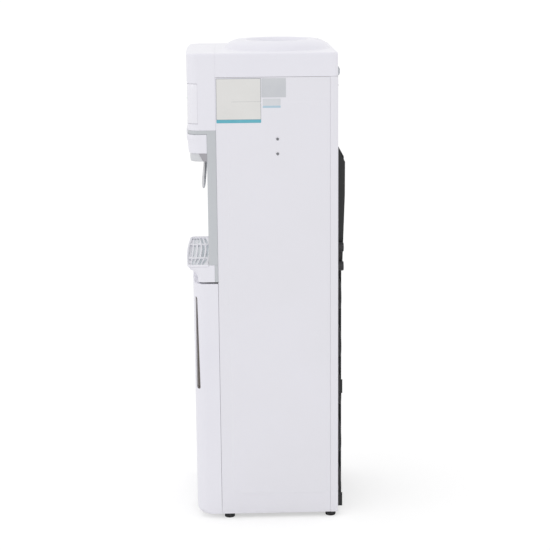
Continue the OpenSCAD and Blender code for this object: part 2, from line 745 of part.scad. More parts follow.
// The nose falls back quickly under the grille and then runs straight down
function nose_y(t) = nose_low - (nose_low - nose_high) * (t < 0.35 ? 0 : pow((t - 0.35) / 0.65, 1.2));
function nose_ring(t) = [for (p = plan(y_apron, nose_y(t), tray_corner, 0))
    [p.x, p.y, z_tray + (z_nose - z_tray) * t]];
function bowl_side(z) = bowl_w - bowl_draft * (z_ledge - z) / basin_h;
module bowl(inset, z0, z1) {
    low = bowl_side(z0) - inset;
    high = bowl_side(z1) - inset;
    prism_y([[-low, z0], [low, z0], [high, z1], [-high, z1]], y_bowl[0] + inset, y_bowl[1] - inset);
}
module flange(gap, z0, z1) {
    prism_z(plan(y_bowl[1] - gap, nose_high, tray_corner, tray_inset + gap), z0, z1);
}
module tray_apron() {
    color("white") difference() {
        skin([for (i = [0:nose_steps]) nose_ring(i / nose_steps)]);
        flange(0, z_ledge, z_nose + 1);
        bowl(0, z_well, z_nose);
    }
}
pin_at = [bowl_w + 4, y_niche - 5.5];
locate_r = 2.4;
module drip_basin() {
    color("gray") {
        difference() {
            union() {
                bowl(bowl_gap, z_bowl, z_flange + flange_t);
                flange(flange_gap, z_flange, z_flange + flange_t);
            }
            bowl(bowl_gap + bowl_wall, z_bowl + bowl_wall, z_nose + 1);
        }
        for (sx = [-1, 1]) rod_z(sx * pin_at.x, pin_at.y, locate_r, z_flange + 1, z_nose + 1.2);
    }
}

// Grille: a lid over the whole tray that two pins of the basin keep in place, with three columns of
// slots in its sunk field, straight near the front and more arched towards the rear
slot_bows = [-1.5, 1.7, 5, 7.5, 9];
slot_rows = len(slot_bows);
rib_at = half_w - 83;
rib_w = 16;
rim_w = 3.5;
grille_half = half_w - 15;
slot_columns = [[-grille_half, -rib_at - rib_w / 2], [-rib_at + rib_w / 2, rib_at - rib_w / 2],
    [rib_at + rib_w / 2, grille_half]];
z_grille = z_rim - grille_drop;
function slot_y(row, x) = y_tray + 7.4 + slot_pitch * row - slot_bows[row] * pow(x / grille_half, 2);
module slot(row, x0, x1) {
    steps = 5;
    prism_z(concat(
        [for (i = [0:steps]) let (x = x0 + (x1 - x0) * i / steps) [x, slot_y(row, x) - slot_w / 2]],
        [for (i = [steps:-1:0]) let (x = x0 + (x1 - x0) * i / steps) [x, slot_y(row, x) + slot_w / 2]]),
        z_sill - 1, z_rim + 1);
}
module drip_grille() {
    color("white") difference() {
        prism_z(plan(y_bowl[1], y_tray, tray_corner, 0), z_sill, z_rim);
        prism_z(plan(y_niche, y_tray, tray_corner, rim_w), z_grille, z_rim + 1);
        for (row = [0:slot_rows - 1], column = slot_columns) slot(row, column[0], column[1]);
        for (sx = [-1, 1])
            rod_z(sx * pin_at.x, pin_at.y, locate_r + seat_gap, z_sill - 1, z_nose + 1.2 + seat_gap / 2);
    }
}

// Door: white outer shell, flat inner pan, magnetic gasket and a dark lining in the grip recess
hinge_at = [-half_w + hinge_side, y_seam - hinge_fore];
y_door_back = y_seam - door_back_gap;
boss_r = 6;
boss_h = 18;
corner_clear = hinge_fore - 0.6;
grip_x = half_w - 17;
grip_lining = 1.2;
z_grip_top = z_door_top - grip_drop;
grip_fore = y_door + 4.2;
// The recess is narrow at its top and wider, with a round end, at its foot
function grip_shape(grow) = let (w = grip_w / 2 + grow) concat(
    [[grip_fore - grow, z_grip_top + grow], [grip_fore + 3.4 + grow, z_grip_top - 4 + grow]],
    arc([grip_fore + grip_w / 2, z_grip_top - grip_h + grip_w / 2], w, 0, -180, 8),
    [[grip_fore - grow, z_grip_top - grip_h + grip_w]]);
module door_form(inset) {
    z0 = z_door + inset;
    y0 = y_door + inset;
    r = door_foot_r - inset;
    intersection() {
        prism_z(plan(y_door_back + (inset > 0 ? 1 : 0), y_door, door_corner, inset),
            z0, z_door_top - inset);
        prism_x(concat([[y_door_back + 1, z0]], [[y0 + r, z0]],
            arc([y0 + r, z0 + r], r, 270, 180, edge_steps),
            [[y0, z_door_top], [y_door_back + 1, z_door_top]]), -half_w, half_w);
    }
}
// What the corner by the hinge loses, so that the door swings clear of the cabinet
module hinge_relief(z0, z1) {
    difference() {
        block([-half_w - 1, hinge_at.y, z0], [hinge_at.x, y_seam + 1, z1]);
        rod_z(hinge_at.x, hinge_at.y, corner_clear, z0 - 1, z1 + 1);
    }
}
module door_shell() {
    color("white") difference() {
        union() {
            difference() {
                door_form(0);
                door_form(wall_t);
            }
            for (z = [z_door, z_door_top - boss_h]) rod_z(hinge_at.x, hinge_at.y, boss_r, z, z + boss_h);
        }
        rod_z(hinge_at.x, hinge_at.y, hinge_pin_r + pin_play, z_door - 1, z_door_top + 1);
        prism_x(grip_shape(grip_lining), grip_x, half_w + 1);
        hinge_relief(z_door - 1, z_door_top + 1);
    }
}
liner_t = 5;
liner_gap = 0.3;
gasket_w = 8;
gasket_in = 5;
liner_hinge_gap = 10;
module frame_block(inset, y0, y1) {
    edge = wall_t + liner_gap + inset;
    block([-half_w + edge + liner_hinge_gap, y0, z_door + edge], [half_w - edge, y1, z_door_top - edge]);
}
module door_liner() {
    color("whitesmoke") difference() {
        frame_block(0, y_door_back - liner_t, y_door_back);
        difference() {
            frame_block(gasket_in, y_door_back - 3, y_door_back + 1);
            frame_block(gasket_in + gasket_w + 0.6, y_door_back - 4, y_door_back + 2);
        }
        frame_block(gasket_in + gasket_w + 20, y_door_back - liner_t - 1, y_door_back - wall_t);
    }
}
module door_gasket() {
    color("dimgray") difference() {
        frame_block(gasket_in + 0.3, y_door_back - 3, y_seam - seat_gap);
        frame_block(gasket_in + 0.3 + gasket_w, y_door_back - 4, y_seam + 1);
    }
}
module door_grip() {
    color([0.2, 0.16, 0.13]) intersection() {
        difference() {
            prism_x(grip_shape(grip_lining), grip_x, half_w + 1);
            prism_x(grip_shape(0), grip_x + grip_lining, half_w + 2);
        }
        prism_z(plan(y_door_back, y_door, door_corner, 0), z_door, z_door_top);
    }
}
module door_hinges() {
    hinge_w = 10.5;
    color("silver") {
        union() {
            difference() {
                block([-half_w + sheet_t, hinge_at.y - 6, z_body],
                    [-half_w + sheet_t + hinge_w, y_seam + 30, z_pan]);
                rod_z(feet_at[0].x, feet_at[0].y, foot_neck_r + 0.1, z_body - 1, z_pan + 1);
            }
            rod_z(hinge_at.x, hinge_at.y, hinge_pin_r, z_body, z_door + boss_h - 3);
        }
        union() {
            block([-half_w + sheet_t + wall_t, hinge_at.y - 6, z_shelf - hinge_t],
                [-half_w + sheet_t + wall_t + hinge_w, y_seam + 26, z_shelf]);
            rod_z(hinge_at.x, hinge_at.y, hinge_pin_r, z_door_top - boss_h + 3, z_shelf);
        }
    }
}

// Storage liner: open to the front, with a hump over the compressor
store_w = half_w - 27;
z_store = z_floor + 16;
z_store_top = z_door_top - 14;
module storage_liner() {
    flange_x = half_w - front_lip - seat_gap;
    color("ghostwhite") difference() {
        union() {
            block([-flange_x, y_seam, z_floor + seat_gap], [flange_x, y_seam + wall_t, z_door_top - 0.5]);
            block([-store_w - wall_t, y_seam, z_store - wall_t],
                [store_w + wall_t, y_seam + store_low_d + wall_t, z_store_top + wall_t]);
            block([-store_w - wall_t, y_seam, z_body + hump_h - wall_t],
                [store_w + wall_t, y_seam + store_d + wall_t, z_store_top + wall_t]);
            for (sx = [-1, 1])
                block([sx * 80 - 10, y_seam, z_floor + seat_gap], [sx * 80 + 10, y_seam + 70, z_store]);
        }
        block([-store_w, y_seam - 1, z_store], [store_w, y_seam + store_low_d, z_store_top]);
        block([-store_w, y_seam - 1, z_body + hump_h], [store_w, y_seam + store_d, z_store_top]);
    }
}

// Compressor on rubber mounts, with its relay box and the closed copper circuit
comp_r = 56;
comp_h = 150;
z_comp = z_floor + 14;
module compressor() {
    color([0.1, 0.1, 0.1]) difference() {
        union() {
            turned(comp_at.x, comp_at.y, concat([[0, z_comp], [comp_r - 10, z_comp]],
                arc([comp_r - 10, z_comp + 10], 10, 270, 360, 4),
                arc([comp_r - 30, z_comp + comp_h - 30], 30, 0, 90, 6), [[0, z_comp + comp_h]]));
            block([comp_at.x - 74, comp_at.y - 46, z_comp - 2],
                [comp_at.x + 74, comp_at.y + 46, z_comp + 1]);
            for (p = [discharge_top, suction_top]) rod_z(p.x, p.y, 4, z_comp + 100, p.z);
        }
        for (p = mount_at) rod_z(p.x, p.y, 6.1, z_comp - 3, z_comp + 2);
    }
}
module compressor_mounts() {
    color("black") for (p = mount_at)
        turned(p.x, p.y, [[0, z_pan], [4, z_pan], [4, z_floor], [9, z_floor], [9, z_comp - 2 - 0.1],
            [6, z_comp - 2 - 0.1], [6, z_comp + 1.1], [8, z_comp + 1.1], [7, z_comp + 5], [0, z_comp + 5]]);
}
module relay_box() {
    color("dimgray") difference() {
        block([comp_at.x + comp_r - 12, comp_at.y - 20, z_comp + 35],
            [comp_at.x + comp_r + 22, comp_at.y + 20, z_comp + 80]);
        rod_z(comp_at.x, comp_at.y, comp_r + 0.2, z_comp, z_comp + 100);
    }
}
filter_x = -half_w + 55;
filter_r = 9;
filter_z = [z_body + 240, z_body + 350];
filter_y = y_back - sheet_t - filter_r - seat_gap;
module filter_drier() {
    color("peru") turned(filter_x, filter_y, [[0, filter_z[0]], [3, filter_z[0]],
        [filter_r, filter_z[0] + 10], [filter_r, filter_z[1] - 10], [3, filter_z[1]], [0, filter_z[1]]]);
}

// Condenser: one serpentine tube between two faces of wires; its upper half stands further off the plate
cond_gap = 0.25;
cond_half = cond_r + wire_t + cond_gap;
cond_low = z_body + 14;
cond_high = z_rim + 208;
cond_pitch = (cond_high - cond_low) / (cond_passes - 1);
cond_x = half_w - 59;
step_low = z_tray + 24;
step_high = z_rim + 138;
pipe_out_x = half_w - 43;
pipe_out_z = cond_low;
function proud(z) = z < step_low ? condenser_low : z > step_high ? condenser_proud
    : condenser_low + (condenser_proud - condenser_low) * (z - step_low) / (step_high - step_low);
function cond_y(z) = y_back + proud(z) - cond_half;
cond_turns = [for (i = [0:cond_passes - 2])
    let (side = i % 2 == 0 ? 1 : -1, z = cond_low + cond_pitch * i)
    each [for (k = [0:6]) let (a = -90 + 30 * k, h = z + cond_pitch / 2 * (1 + sin(a)))
        [side * (cond_x + cond_pitch / 2 * cos(a)), cond_y(h), h]]];
cond_reach = cond_x + cond_pitch / 2 + cond_r;
module condenser_tube() {
    color([0.12, 0.12, 0.12])
        tube(concat([[-cond_x, cond_y(cond_low), cond_low]], cond_turns,
            [[(cond_passes % 2 == 0 ? -1 : 1) * cond_x, cond_y(cond_high), cond_high]]), cond_r);
}
module condenser_wires() {
    span = 2 * (cond_x - 4);
    low = cond_low - 14;
    high = cond_high + 5;
    off = cond_r + wire_t / 2 + cond_gap;
    color([0.12, 0.12, 0.12]) for (i = [0:wire_count - 1], face = [-1, 1]) {
        x = -span / 2 + span * i / (wire_count - 1) + (face > 0 ? 1.2 : 0);
        tube([for (z = [low, step_low, step_high, high]) [x, cond_y(z) + face * off, z]], wire_t / 2, 4);
    }
}
bracket_t = 1.5;
bracket_x = cond_reach + seat_gap;
module condenser_brackets() {
    color([0.12, 0.12, 0.12]) for (sx = [-1, 1]) {
        translate([sx * (bracket_x + bracket_t / 2), 0, 0]) {
            prism_x([[y_back, step_low], [cond_y(step_low) + cond_half - 0.5, step_low],
                [y_back + condenser_proud - 0.3, step_high], [y_back + condenser_proud, cond_high - 8],
                [y_back + condenser_proud, cond_high - 2], [y_back + 2, cond_high + 25],
                [y_back, cond_high + 25]],
                -bracket_t / 2, bracket_t / 2);
            for (z = [cond_low - 12, cond_low + 241])
                block([-bracket_t / 2, y_back, z], [bracket_t / 2, y_back + condenser_low, z + 30]);
        }
    }
}

// Copper lines between compressor, condenser, filter and evaporator
pipe_r = 3;
discharge_top = [comp_at.x + 20, comp_at.y + 30, z_comp + comp_h + 8];
suction_top = [comp_at.x - 30, comp_at.y + 20, z_comp + comp_h + 8];
evap_low = z_bracket + shelf_t + 25;
module refrigerant_pipes() {
    y_in = y_back - 14;
    thin_r = pipe_r - 0.8;
    color("peru") {
        tube(rounded([suction_top, suction_top + [0, 0, 12], [suction_top.x, pipe_y, suction_top.z + 12],
            [pipe_x, pipe_y, suction_top.z + 40], [pipe_x, pipe_y, z_bracket - 60],
            [pipe_x, y_well, z_bracket - 30], [pipe_x, y_well, evap_low - 6]], 10), pipe_r);
        tube(rounded([discharge_top, discharge_top + [0, 0, 6], [pipe_out_x, y_in, discharge_top.z + 6],
            [pipe_out_x, y_in, pipe_out_z], [pipe_out_x, cond_y(cond_low), pipe_out_z],
            [pipe_out_x - 8, cond_y(cond_low), pipe_out_z - 8]], 5), thin_r);
        tube(rounded([[filter_x, filter_y, filter_z[0]], [filter_x, filter_y, filter_z[0] - 40],
            [-pipe_out_x, y_in, pipe_out_z + 60], [-pipe_out_x, y_in, pipe_out_z],
            [-pipe_out_x, cond_y(cond_low), pipe_out_z], [-cond_x - 0.2, cond_y(cond_low), pipe_out_z]],
            5), thin_r);
    }
}

// Cold side: steel tank with the evaporator wound round it, held in two half shells of foam
z_cold = z_bracket + shelf_t + 10;
tank_t = 1;
stub_r = 5;
stub_x = [0, -20, 20];
module cold_tank() {
    color("silver") difference() {
        union() {
            rod_z(0, y_well, cold_r, z_cold, z_cold + cold_h);
            for (x = stub_x) rod_z(x, y_well, stub_r, z_cold - 10, z_cold + 1);
        }
        rod_z(0, y_well, cold_r - tank_t, z_cold + tank_t, z_cold + cold_h - tank_t);
        rod_z(0, y_well, neck_r + seat_wall + 0.5, z_cold + cold_h - 5, z_cold + cold_h + 1);
        for (x = stub_x) rod_z(x, y_well, stub_r - 1.2, z_cold - 11, z_cold + 5);
    }
}
evap_way_r = cold_r + evap_r + 1.3;
evap_pitch = (cold_h - 36) / evap_turns;
evap_steps = 20;
module evaporator_coil() {
    turn = [for (i = [0:evap_turns * evap_steps]) let (a = 360 * i / evap_steps)
        [evap_way_r * cos(a), y_well + evap_way_r * sin(a), evap_low + 6 + evap_pitch * i / evap_steps]];
    color("peru") tube(turn, evap_r);
}
foam_bore = cold_r + 2 * evap_r + 2;
bezel_reach = norm([bezel_at.x + bezel_w / 2 - bezel_step, y_back - bezel_deep - y_well]);
foam_r = min(bezel_reach - 1.5, y_back - sheet_t - y_well - 4);
module tank_foam() {
    z0 = z_bracket + shelf_t;
    color("ivory") difference() {
        rod_z(0, y_well, foam_r, z0, z_cold + cold_h - 5);
        rod_z(0, y_well, foam_bore, z_cold, z_cold + cold_h);
        rod_z(0, y_well, 30, z0 - 1, z_cold + 1);
        rod_z(pipe_x, y_well, 6, z0 - 1, z_cold + 1);
        block([-0.15, y_well - foam_r - 1, z0 - 1], [0.15, y_well + foam_r + 1, z_cold + cold_h]);
    }
}

// Hot side: steel tank with a heating band, inside an insulating jacket on the shelf
hot_at = [-half_w + 83, y_well + 26];
z_hot = z_shelf + shelf_t + 13;
jacket_gap = 5;
jacket_t = 12;
band_t = 3;
outlet_z = z_hot + 12;
outlet_x = hot_at.x + hot_r + jacket_gap + jacket_t + 4;
module hot_tank() {
    color("silver") difference() {
        union() {
            rod_z(hot_at.x, hot_at.y, hot_r, z_hot, z_hot + hot_h);
            rod_z(hot_at.x, hot_at.y, 5, z_hot + hot_h - 1, z_hot + hot_h + 22);
            rod_x(hot_at.y, outlet_z, 5, hot_at.x + hot_r - 5, outlet_x);
        }
        rod_z(hot_at.x, hot_at.y, hot_r - tank_t, z_hot + tank_t, z_hot + hot_h - tank_t);
        rod_z(hot_at.x, hot_at.y, 3.8, z_hot + hot_h - 5, z_hot + hot_h + 23);
        rod_x(hot_at.y, outlet_z, 3.8, hot_at.x + hot_r - 6, outlet_x + 1);
    }
}
module heater_band() {
    color("goldenrod") difference() {
        union() {
            rod_z(hot_at.x, hot_at.y, hot_r + band_t, z_hot + 40, z_hot + 70);
            rod_y(hot_at.x, z_hot + 55, 3, hot_at.y - hot_r - jacket_gap + 0.4, hot_at.y - hot_r + 2);
        }
        rod_z(hot_at.x, hot_at.y, hot_r + 0.1, z_hot + 39, z_hot + 71);
    }
}
module hot_jacket() {
    z0 = z_shelf + shelf_t;
    z1 = z_hot + hot_h + 12;
    color("khaki") difference() {
        rod_z(hot_at.x, hot_at.y, hot_r + jacket_gap + jacket_t, z0, z1);
        rod_z(hot_at.x, hot_at.y, hot_r + jacket_gap, z_hot, z_hot + hot_h + seat_gap);
        rod_z(hot_at.x, hot_at.y, 5.4, z_hot, z1 + 1);
        rod_x(hot_at.y, outlet_z, 5.4, hot_at.x, hot_at.x + half_w);
    }
}

// Silicone hoses from the tanks to the taps, and from the cold tank to the hot tank
hose_r = 5;
z_under = z_bracket - 35;
y_rise = y_seam + 12;
module water_hoses() {
    color("lightblue") {
        tube(rounded([[stub_x[0], y_well, z_cold - 10], [stub_x[0], y_well, z_under],
            [tap_x[0], y_rise + 30, z_under], [tap_x[0], y_rise, z_under + 20],
            [tap_x[0], y_rise, z_shank], [tap_x[0], y_shank_end, z_shank]], 7), hose_r);
        tube(rounded([[stub_x[1], y_well, z_cold - 10], [stub_x[1], y_well, z_under],
            [tap_x[1], y_rise, z_under], [tap_x[1], y_rise, z_shank],
            [tap_x[1], y_shank_end, z_shank]], 7), hose_r);
    }
}
module hot_hose() {
    z0 = z_hot + hot_h + 22;
    color("mistyrose") tube(rounded([[hot_at.x, hot_at.y, z0], [hot_at.x, hot_at.y, z0 + 10],
        [tap_x[2], y_rise, z0 + 10], [tap_x[2], y_rise, z_shank],
        [tap_x[2], y_shank_end, z_shank]], 7), hose_r);
}

// Drains: a pipe from each tank to a threaded end behind the back plate, closed by a ribbed cap
drain_out = 9;
cap_r = 9;
cap_l = 12;
module drain_pipes() {
    color("white") {
        tube(rounded([[outlet_x, hot_at.y, outlet_z],
            [drain_x, hot_at.y, outlet_z], [drain_x, hot_at.y + 20, drain_z[0]],
            [drain_x, y_back - 12, drain_z[0]]], 8), drain_r - 0.5);
        tube(rounded([[stub_x[2], y_well, z_cold - 10], [stub_x[2], y_well, z_under - 30],
            [drain_x - 20, y_well, drain_z[1]], [drain_x, y_well + 30, drain_z[1]],
            [drain_x, y_back - 12, drain_z[1]]], 8), drain_r - 0.5);
        for (z = drain_z) {
            rod_y(drain_x, z, drain_r, y_back - 12, y_back + drain_out);
            difference() {
                rod_y(drain_x, z, drain_r + 4, y_back - sheet_t - 3, y_back - sheet_t);
                rod_y(drain_x, z, drain_r + pin_play, y_back - 9, y_back);
            }
        }
    }
}
module drain_cap(z) {
    ribs = 12;
    color([0.13, 0.13, 0.13]) difference() {
        union() {
            rod_y(drain_x, z, cap_r, y_back + seat_gap, y_back + cap_l);
            for (i = [0:ribs - 1])
                translate([drain_x, 0, z]) rotate([0, 360 * i / ribs, 0])
                    block([cap_r - 1, y_back + 2, -0.8], [cap_r + 0.8, y_back + cap_l - 1, 0.8]);
        }
        rod_y(drain_x, z, drain_r + pin_play, y_back, y_back + drain_out + 0.5);
    }
}
module drain_cap_hot() { drain_cap(drain_z[0]); }
module drain_cap_cold() { drain_cap(drain_z[1]); }

// Rear switches: two rockers in one bezel, each tilting about a pin across its middle
rocker_tilt = 8;
y_rocker = y_back - 3;
module switch_bezel() {
    color([0.13, 0.13, 0.13]) difference() {
        union() {
            block([bezel_at.x - bezel_w / 2, y_back, bezel_at.y - bezel_h / 2],
                [bezel_at.x + bezel_w / 2, y_back + 2, bezel_at.y + bezel_h / 2]);
            block([bezel_at.x - bezel_w / 2 + bezel_step, y_back - bezel_deep,
                    bezel_at.y - bezel_h / 2 + bezel_step],
                [bezel_at.x + bezel_w / 2 - bezel_step, y_back + 1,
                    bezel_at.y + bezel_h / 2 - bezel_step]);
        }
        for (x = rocker_x)
            block([x - rocker_w / 2 - 0.4, y_back - 12, bezel_at.y - rocker_h / 2 - 1],
                [x + rocker_w / 2 + 0.4, y_back + 3, bezel_at.y + rocker_h / 2 + 1]);
        for (x = rocker_x)
            rod_x(y_rocker, bezel_at.y, 1.5, x - rocker_w / 2 - 3, x + rocker_w / 2 + 3);
    }
}
module rocker(x) {
    half = rocker_h / 2 - 1;
    translate([x, y_rocker, bezel_at.y]) rotate([rocker_tilt, 0, 0]) {
        prism_x([[-5, -3], [-5, 3], [2, half], [6.6, half], [5, 0], [6.6, -half], [2, -half]],
            -rocker_w / 2, rocker_w / 2);
        rod_x(0, 0, 1.5 - pin_play, -rocker_w / 2 - 2.6, rocker_w / 2 + 2.6);
    }
}
module switch_hot() { color("firebrick") rocker(rocker_x[0]); }
module switch_cold() { color("seagreen") rocker(rocker_x[1]); }

// Gland of the mains lead, left empty
module cord_gland() {
    color([0.13, 0.13, 0.13]) difference() {
        union() {
            rod_y(gland_at.x, gland_at.y, gland_r, y_back - 8, y_back + 9);
            rod_y(gland_at.x, gland_at.y, gland_r + 3, y_back, y_back + 3);
            rod_y(gland_at.x, gland_at.y, gland_r + 2, y_back - sheet_t - 3, y_back - sheet_t);
        }
        rod_y(gland_at.x, gland_at.y, 3.6, y_back - 10, y_back + 10);
    }
}

base_pan();
feet();
side_panel_left();
side_panel_right();
back_plate();
mid_shelf();
tank_bracket();
top_cover();
front_cover();
display_panel();
indicator_lenses();
light_board();
niche_panel();
tap_housing();
tap_skirt();
tap_body_cold();
tap_body_room();
tap_body_hot();
tap_lever_cold();
tap_lever_room();
tap_lever_hot();
tap_valve_cold();
tap_valve_room();
tap_valve_hot();
tray_apron();
drip_basin();
drip_grille();
door_shell();
door_liner();
door_grip();
door_gasket();
door_hinges();
storage_liner();
compressor();
compressor_mounts();
relay_box();
filter_drier();
refrigerant_pipes();
condenser_tube();
condenser_wires();
condenser_brackets();
cold_tank();
evaporator_coil();
tank_foam();
hot_tank();
heater_band();
hot_jacket();
water_hoses();
hot_hose();
drain_pipes();
drain_cap_hot();
drain_cap_cold();
switch_bezel();
switch_hot();
switch_cold();
cord_gland();
panel_screws();
lid_clips();
bottle_seat();
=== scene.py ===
import json

import bmesh
import bpy
import numpy as np
from mathutils import Matrix


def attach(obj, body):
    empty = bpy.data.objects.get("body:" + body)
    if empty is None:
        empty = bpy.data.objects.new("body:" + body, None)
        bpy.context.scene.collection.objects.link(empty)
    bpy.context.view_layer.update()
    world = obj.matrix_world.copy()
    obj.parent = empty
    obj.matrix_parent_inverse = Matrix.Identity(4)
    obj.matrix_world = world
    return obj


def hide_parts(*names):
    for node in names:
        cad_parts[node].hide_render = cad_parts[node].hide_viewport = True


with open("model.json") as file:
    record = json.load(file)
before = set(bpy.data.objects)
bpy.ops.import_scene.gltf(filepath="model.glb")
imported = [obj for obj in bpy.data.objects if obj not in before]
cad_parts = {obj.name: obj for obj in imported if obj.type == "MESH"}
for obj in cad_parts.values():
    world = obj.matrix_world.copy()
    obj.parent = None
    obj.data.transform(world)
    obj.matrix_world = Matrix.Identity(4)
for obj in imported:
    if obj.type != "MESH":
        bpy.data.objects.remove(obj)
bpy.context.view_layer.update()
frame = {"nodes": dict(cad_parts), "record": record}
scene = bpy.context.scene
scene.view_settings.view_transform = "Standard"

# Camera. It stands to the right of the cooler and a little higher, and looks down at it. The picture
# shows the right side nearly square on, with the front at the left.


def aimed(name, data, at, way, side):
    """An object at a point that looks along way with side to its right. Both directions are made one
    long, and side is made square to way by taking off its share along way."""
    way, side = np.array(way, float), np.array(side, float)
    way /= np.linalg.norm(way)
    side -= side.dot(way) * way
    side /= np.linalg.norm(side)
    stand = np.eye(4)
    stand[:3, 0], stand[:3, 1], stand[:3, 2], stand[:3, 3] = side, np.cross(side, way), -way, at
    thing = bpy.data.objects.new(name, data)
    thing.matrix_world = Matrix(stand.tolist())
    scene.collection.objects.link(thing)
    return thing


lens = bpy.data.cameras.new("photo_camera")
lens.sensor_width, lens.lens, lens.clip_end = 36, 96.87, 200
eye, sight, across = (3.122, -0.073, 1.198), (-0.97510, 0.03013, -0.21967), (0.0328, 0.9994, -0.0087)
scene.camera = aimed("photo_camera", lens, eye, sight, across)

# Side panels. Each is one painted steel sheet, folded round at its front edge and with a shallow
# field pressed out of it that keeps it from drumming. Lengths from here on are in millimetres.
half_w, y_seam, y_back, y_wrap = 155.0, -98.0, 149.0, 133.0
z_body, z_lid, z_top = 10.0, 934.7, 982.5
gauge, fold, fold_r = 0.9, 14, 0.7


def ticks(*stops):
    """Positions along one direction: stops are a start, then pairs of an end and the steps up to it."""
    places = [np.array([stops[0]], float)]
    for end, steps in zip(stops[1::2], stops[2::2]):
        places.append(np.linspace(places[-1][-1], end, steps + 1)[1:])
    return np.concatenate(places)


def smooth(t):
    """A smooth step: t cut off at 0 and 1, then t squared times 3 less 2 t. It is level at both ends."""
    t = np.clip(t, 0, 1)
    return t * t * (3 - 2 * t)


def sheet(grid, keep):
    """Points and quads of a grid of rows and columns. Keep says which quads stay."""
    grid = np.asarray(grid, float)
    rows, columns = grid.shape[:2]
    i, j = np.meshgrid(np.arange(rows - 1), np.arange(columns - 1), indexing="ij")
    a = i * columns + j
    quads = np.stack([a, a + 1, a + columns + 1, a + columns], -1)
    quads = quads.reshape(-1, 4) if keep is None else quads[keep]
    return grid.reshape(-1, 3), quads


def walled(grid, wall, keep=None):
    """A sheet with a wall: each point is repeated the wall's thickness back along its normal, and every
    open edge is closed by a strip. The normal sums the crossed diagonals of the quads around a point."""
    points, quads = sheet(grid, keep)
    corners = points[quads]
    face = np.cross(corners[:, 2] - corners[:, 0], corners[:, 3] - corners[:, 1])
    face /= np.linalg.norm(face, axis=1, keepdims=True) + 1e-12
    normal = np.zeros_like(points)
    for k in range(4):
        np.add.at(normal, quads[:, k], face)
    normal /= np.linalg.norm(normal, axis=1, keepdims=True) + 1e-12
    n = len(points)
    edges = np.concatenate([quads[:, [k, (k + 1) % 4]] for k in range(4)])
    code = edges[:, 0] * n + edges[:, 1]
    rim = edges[~np.isin(code, edges[:, 1] * n + edges[:, 0])]
    strips = np.stack([rim[:, 1], rim[:, 0], rim[:, 0] + n, rim[:, 1] + n], -1)
    quads = np.concatenate([quads, quads[:, ::-1] + n, strips])
    return np.concatenate([points, points - wall * normal]), quads


def closed(rings, ends=True):
    """Rings of equally many points, each joined to the next. Ends closes the first and the last ring
    with a fan to its middle; without ends, the last ring joins the first."""
    rings = np.asarray(rings, float)
    m, n = rings.shape[:2]
    i, j = np.meshgrid(np.arange(m - 1 if ends else m), np.arange(n), indexing="ij")
    a, b = i * n + j, i * n + (j + 1) % n
    c, d = (i + 1) % m * n + (j + 1) % n, (i + 1) % m * n + j
    quads = np.stack([a, b, c, d], -1).reshape(-1, 4)
    points = rings.reshape(-1, 3)
    if not ends:
        return points, quads
    points = np.concatenate([points, rings[:1].mean(1), rings[-1:].mean(1)])
    k, after, middle = np.arange(n), (np.arange(n) + 1) % n, np.full(n, m * n)
    first = np.stack([after, k, middle, middle], -1)
    last = np.stack([k, after, middle, middle], -1) + [(m - 1) * n, (m - 1) * n, 1, 1]
    return points, np.concatenate([quads, first, last])


def piece(name, surfaces, finish, nodes=(), body="cabinet"):
    """One object from several point and quad surfaces. Doubles are merged, closed shells are turned
    outwards, and edges that bend more than 40 degrees stay sharp."""
    offset, points, quads = 0, [], []
    for p, q in surfaces:
        points.append(p)
        quads.append(q + offset)
        offset += len(p)
    points, quads = np.concatenate(points) / 1000, np.concatenate(quads)
    mesh = bpy.data.meshes.new(name)
    mesh.from_pydata(points.tolist(), [], [list(dict.fromkeys(q)) for q in quads.tolist()])
    work = bmesh.new()
    work.from_mesh(mesh)
    bmesh.ops.remove_doubles(work, verts=work.verts, dist=2e-6)
    bmesh.ops.dissolve_degenerate(work, edges=work.edges, dist=1e-6)
    bmesh.ops.recalc_face_normals(work, faces=work.faces)
    work.to_mesh(mesh)
    work.free()
    mesh.shade_smooth()
    mesh.set_sharp_from_angle(angle=np.radians(40))
    mesh.materials.append(finish)
    thing = bpy.data.objects.new(name, mesh)
    scene.collection.objects.link(thing)
    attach(thing, body)
    if nodes:
        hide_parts(*nodes)


def linear(r, g, b):
    """A colour of the picture, from 0 to 255, as the light that it stands for."""
    c = np.array([r, g, b]) / 255
    return np.where(c < 0.04045, c / 12.92, ((c + 0.055) / 1.055) ** 2.4).tolist() + [1.0]


def filled(node, **inputs):
    """A node with inputs set by name, where _ stands for a space."""
    for name, value in inputs.items():
        node.inputs[name.replace("_", " ")].default_value = value
    return node


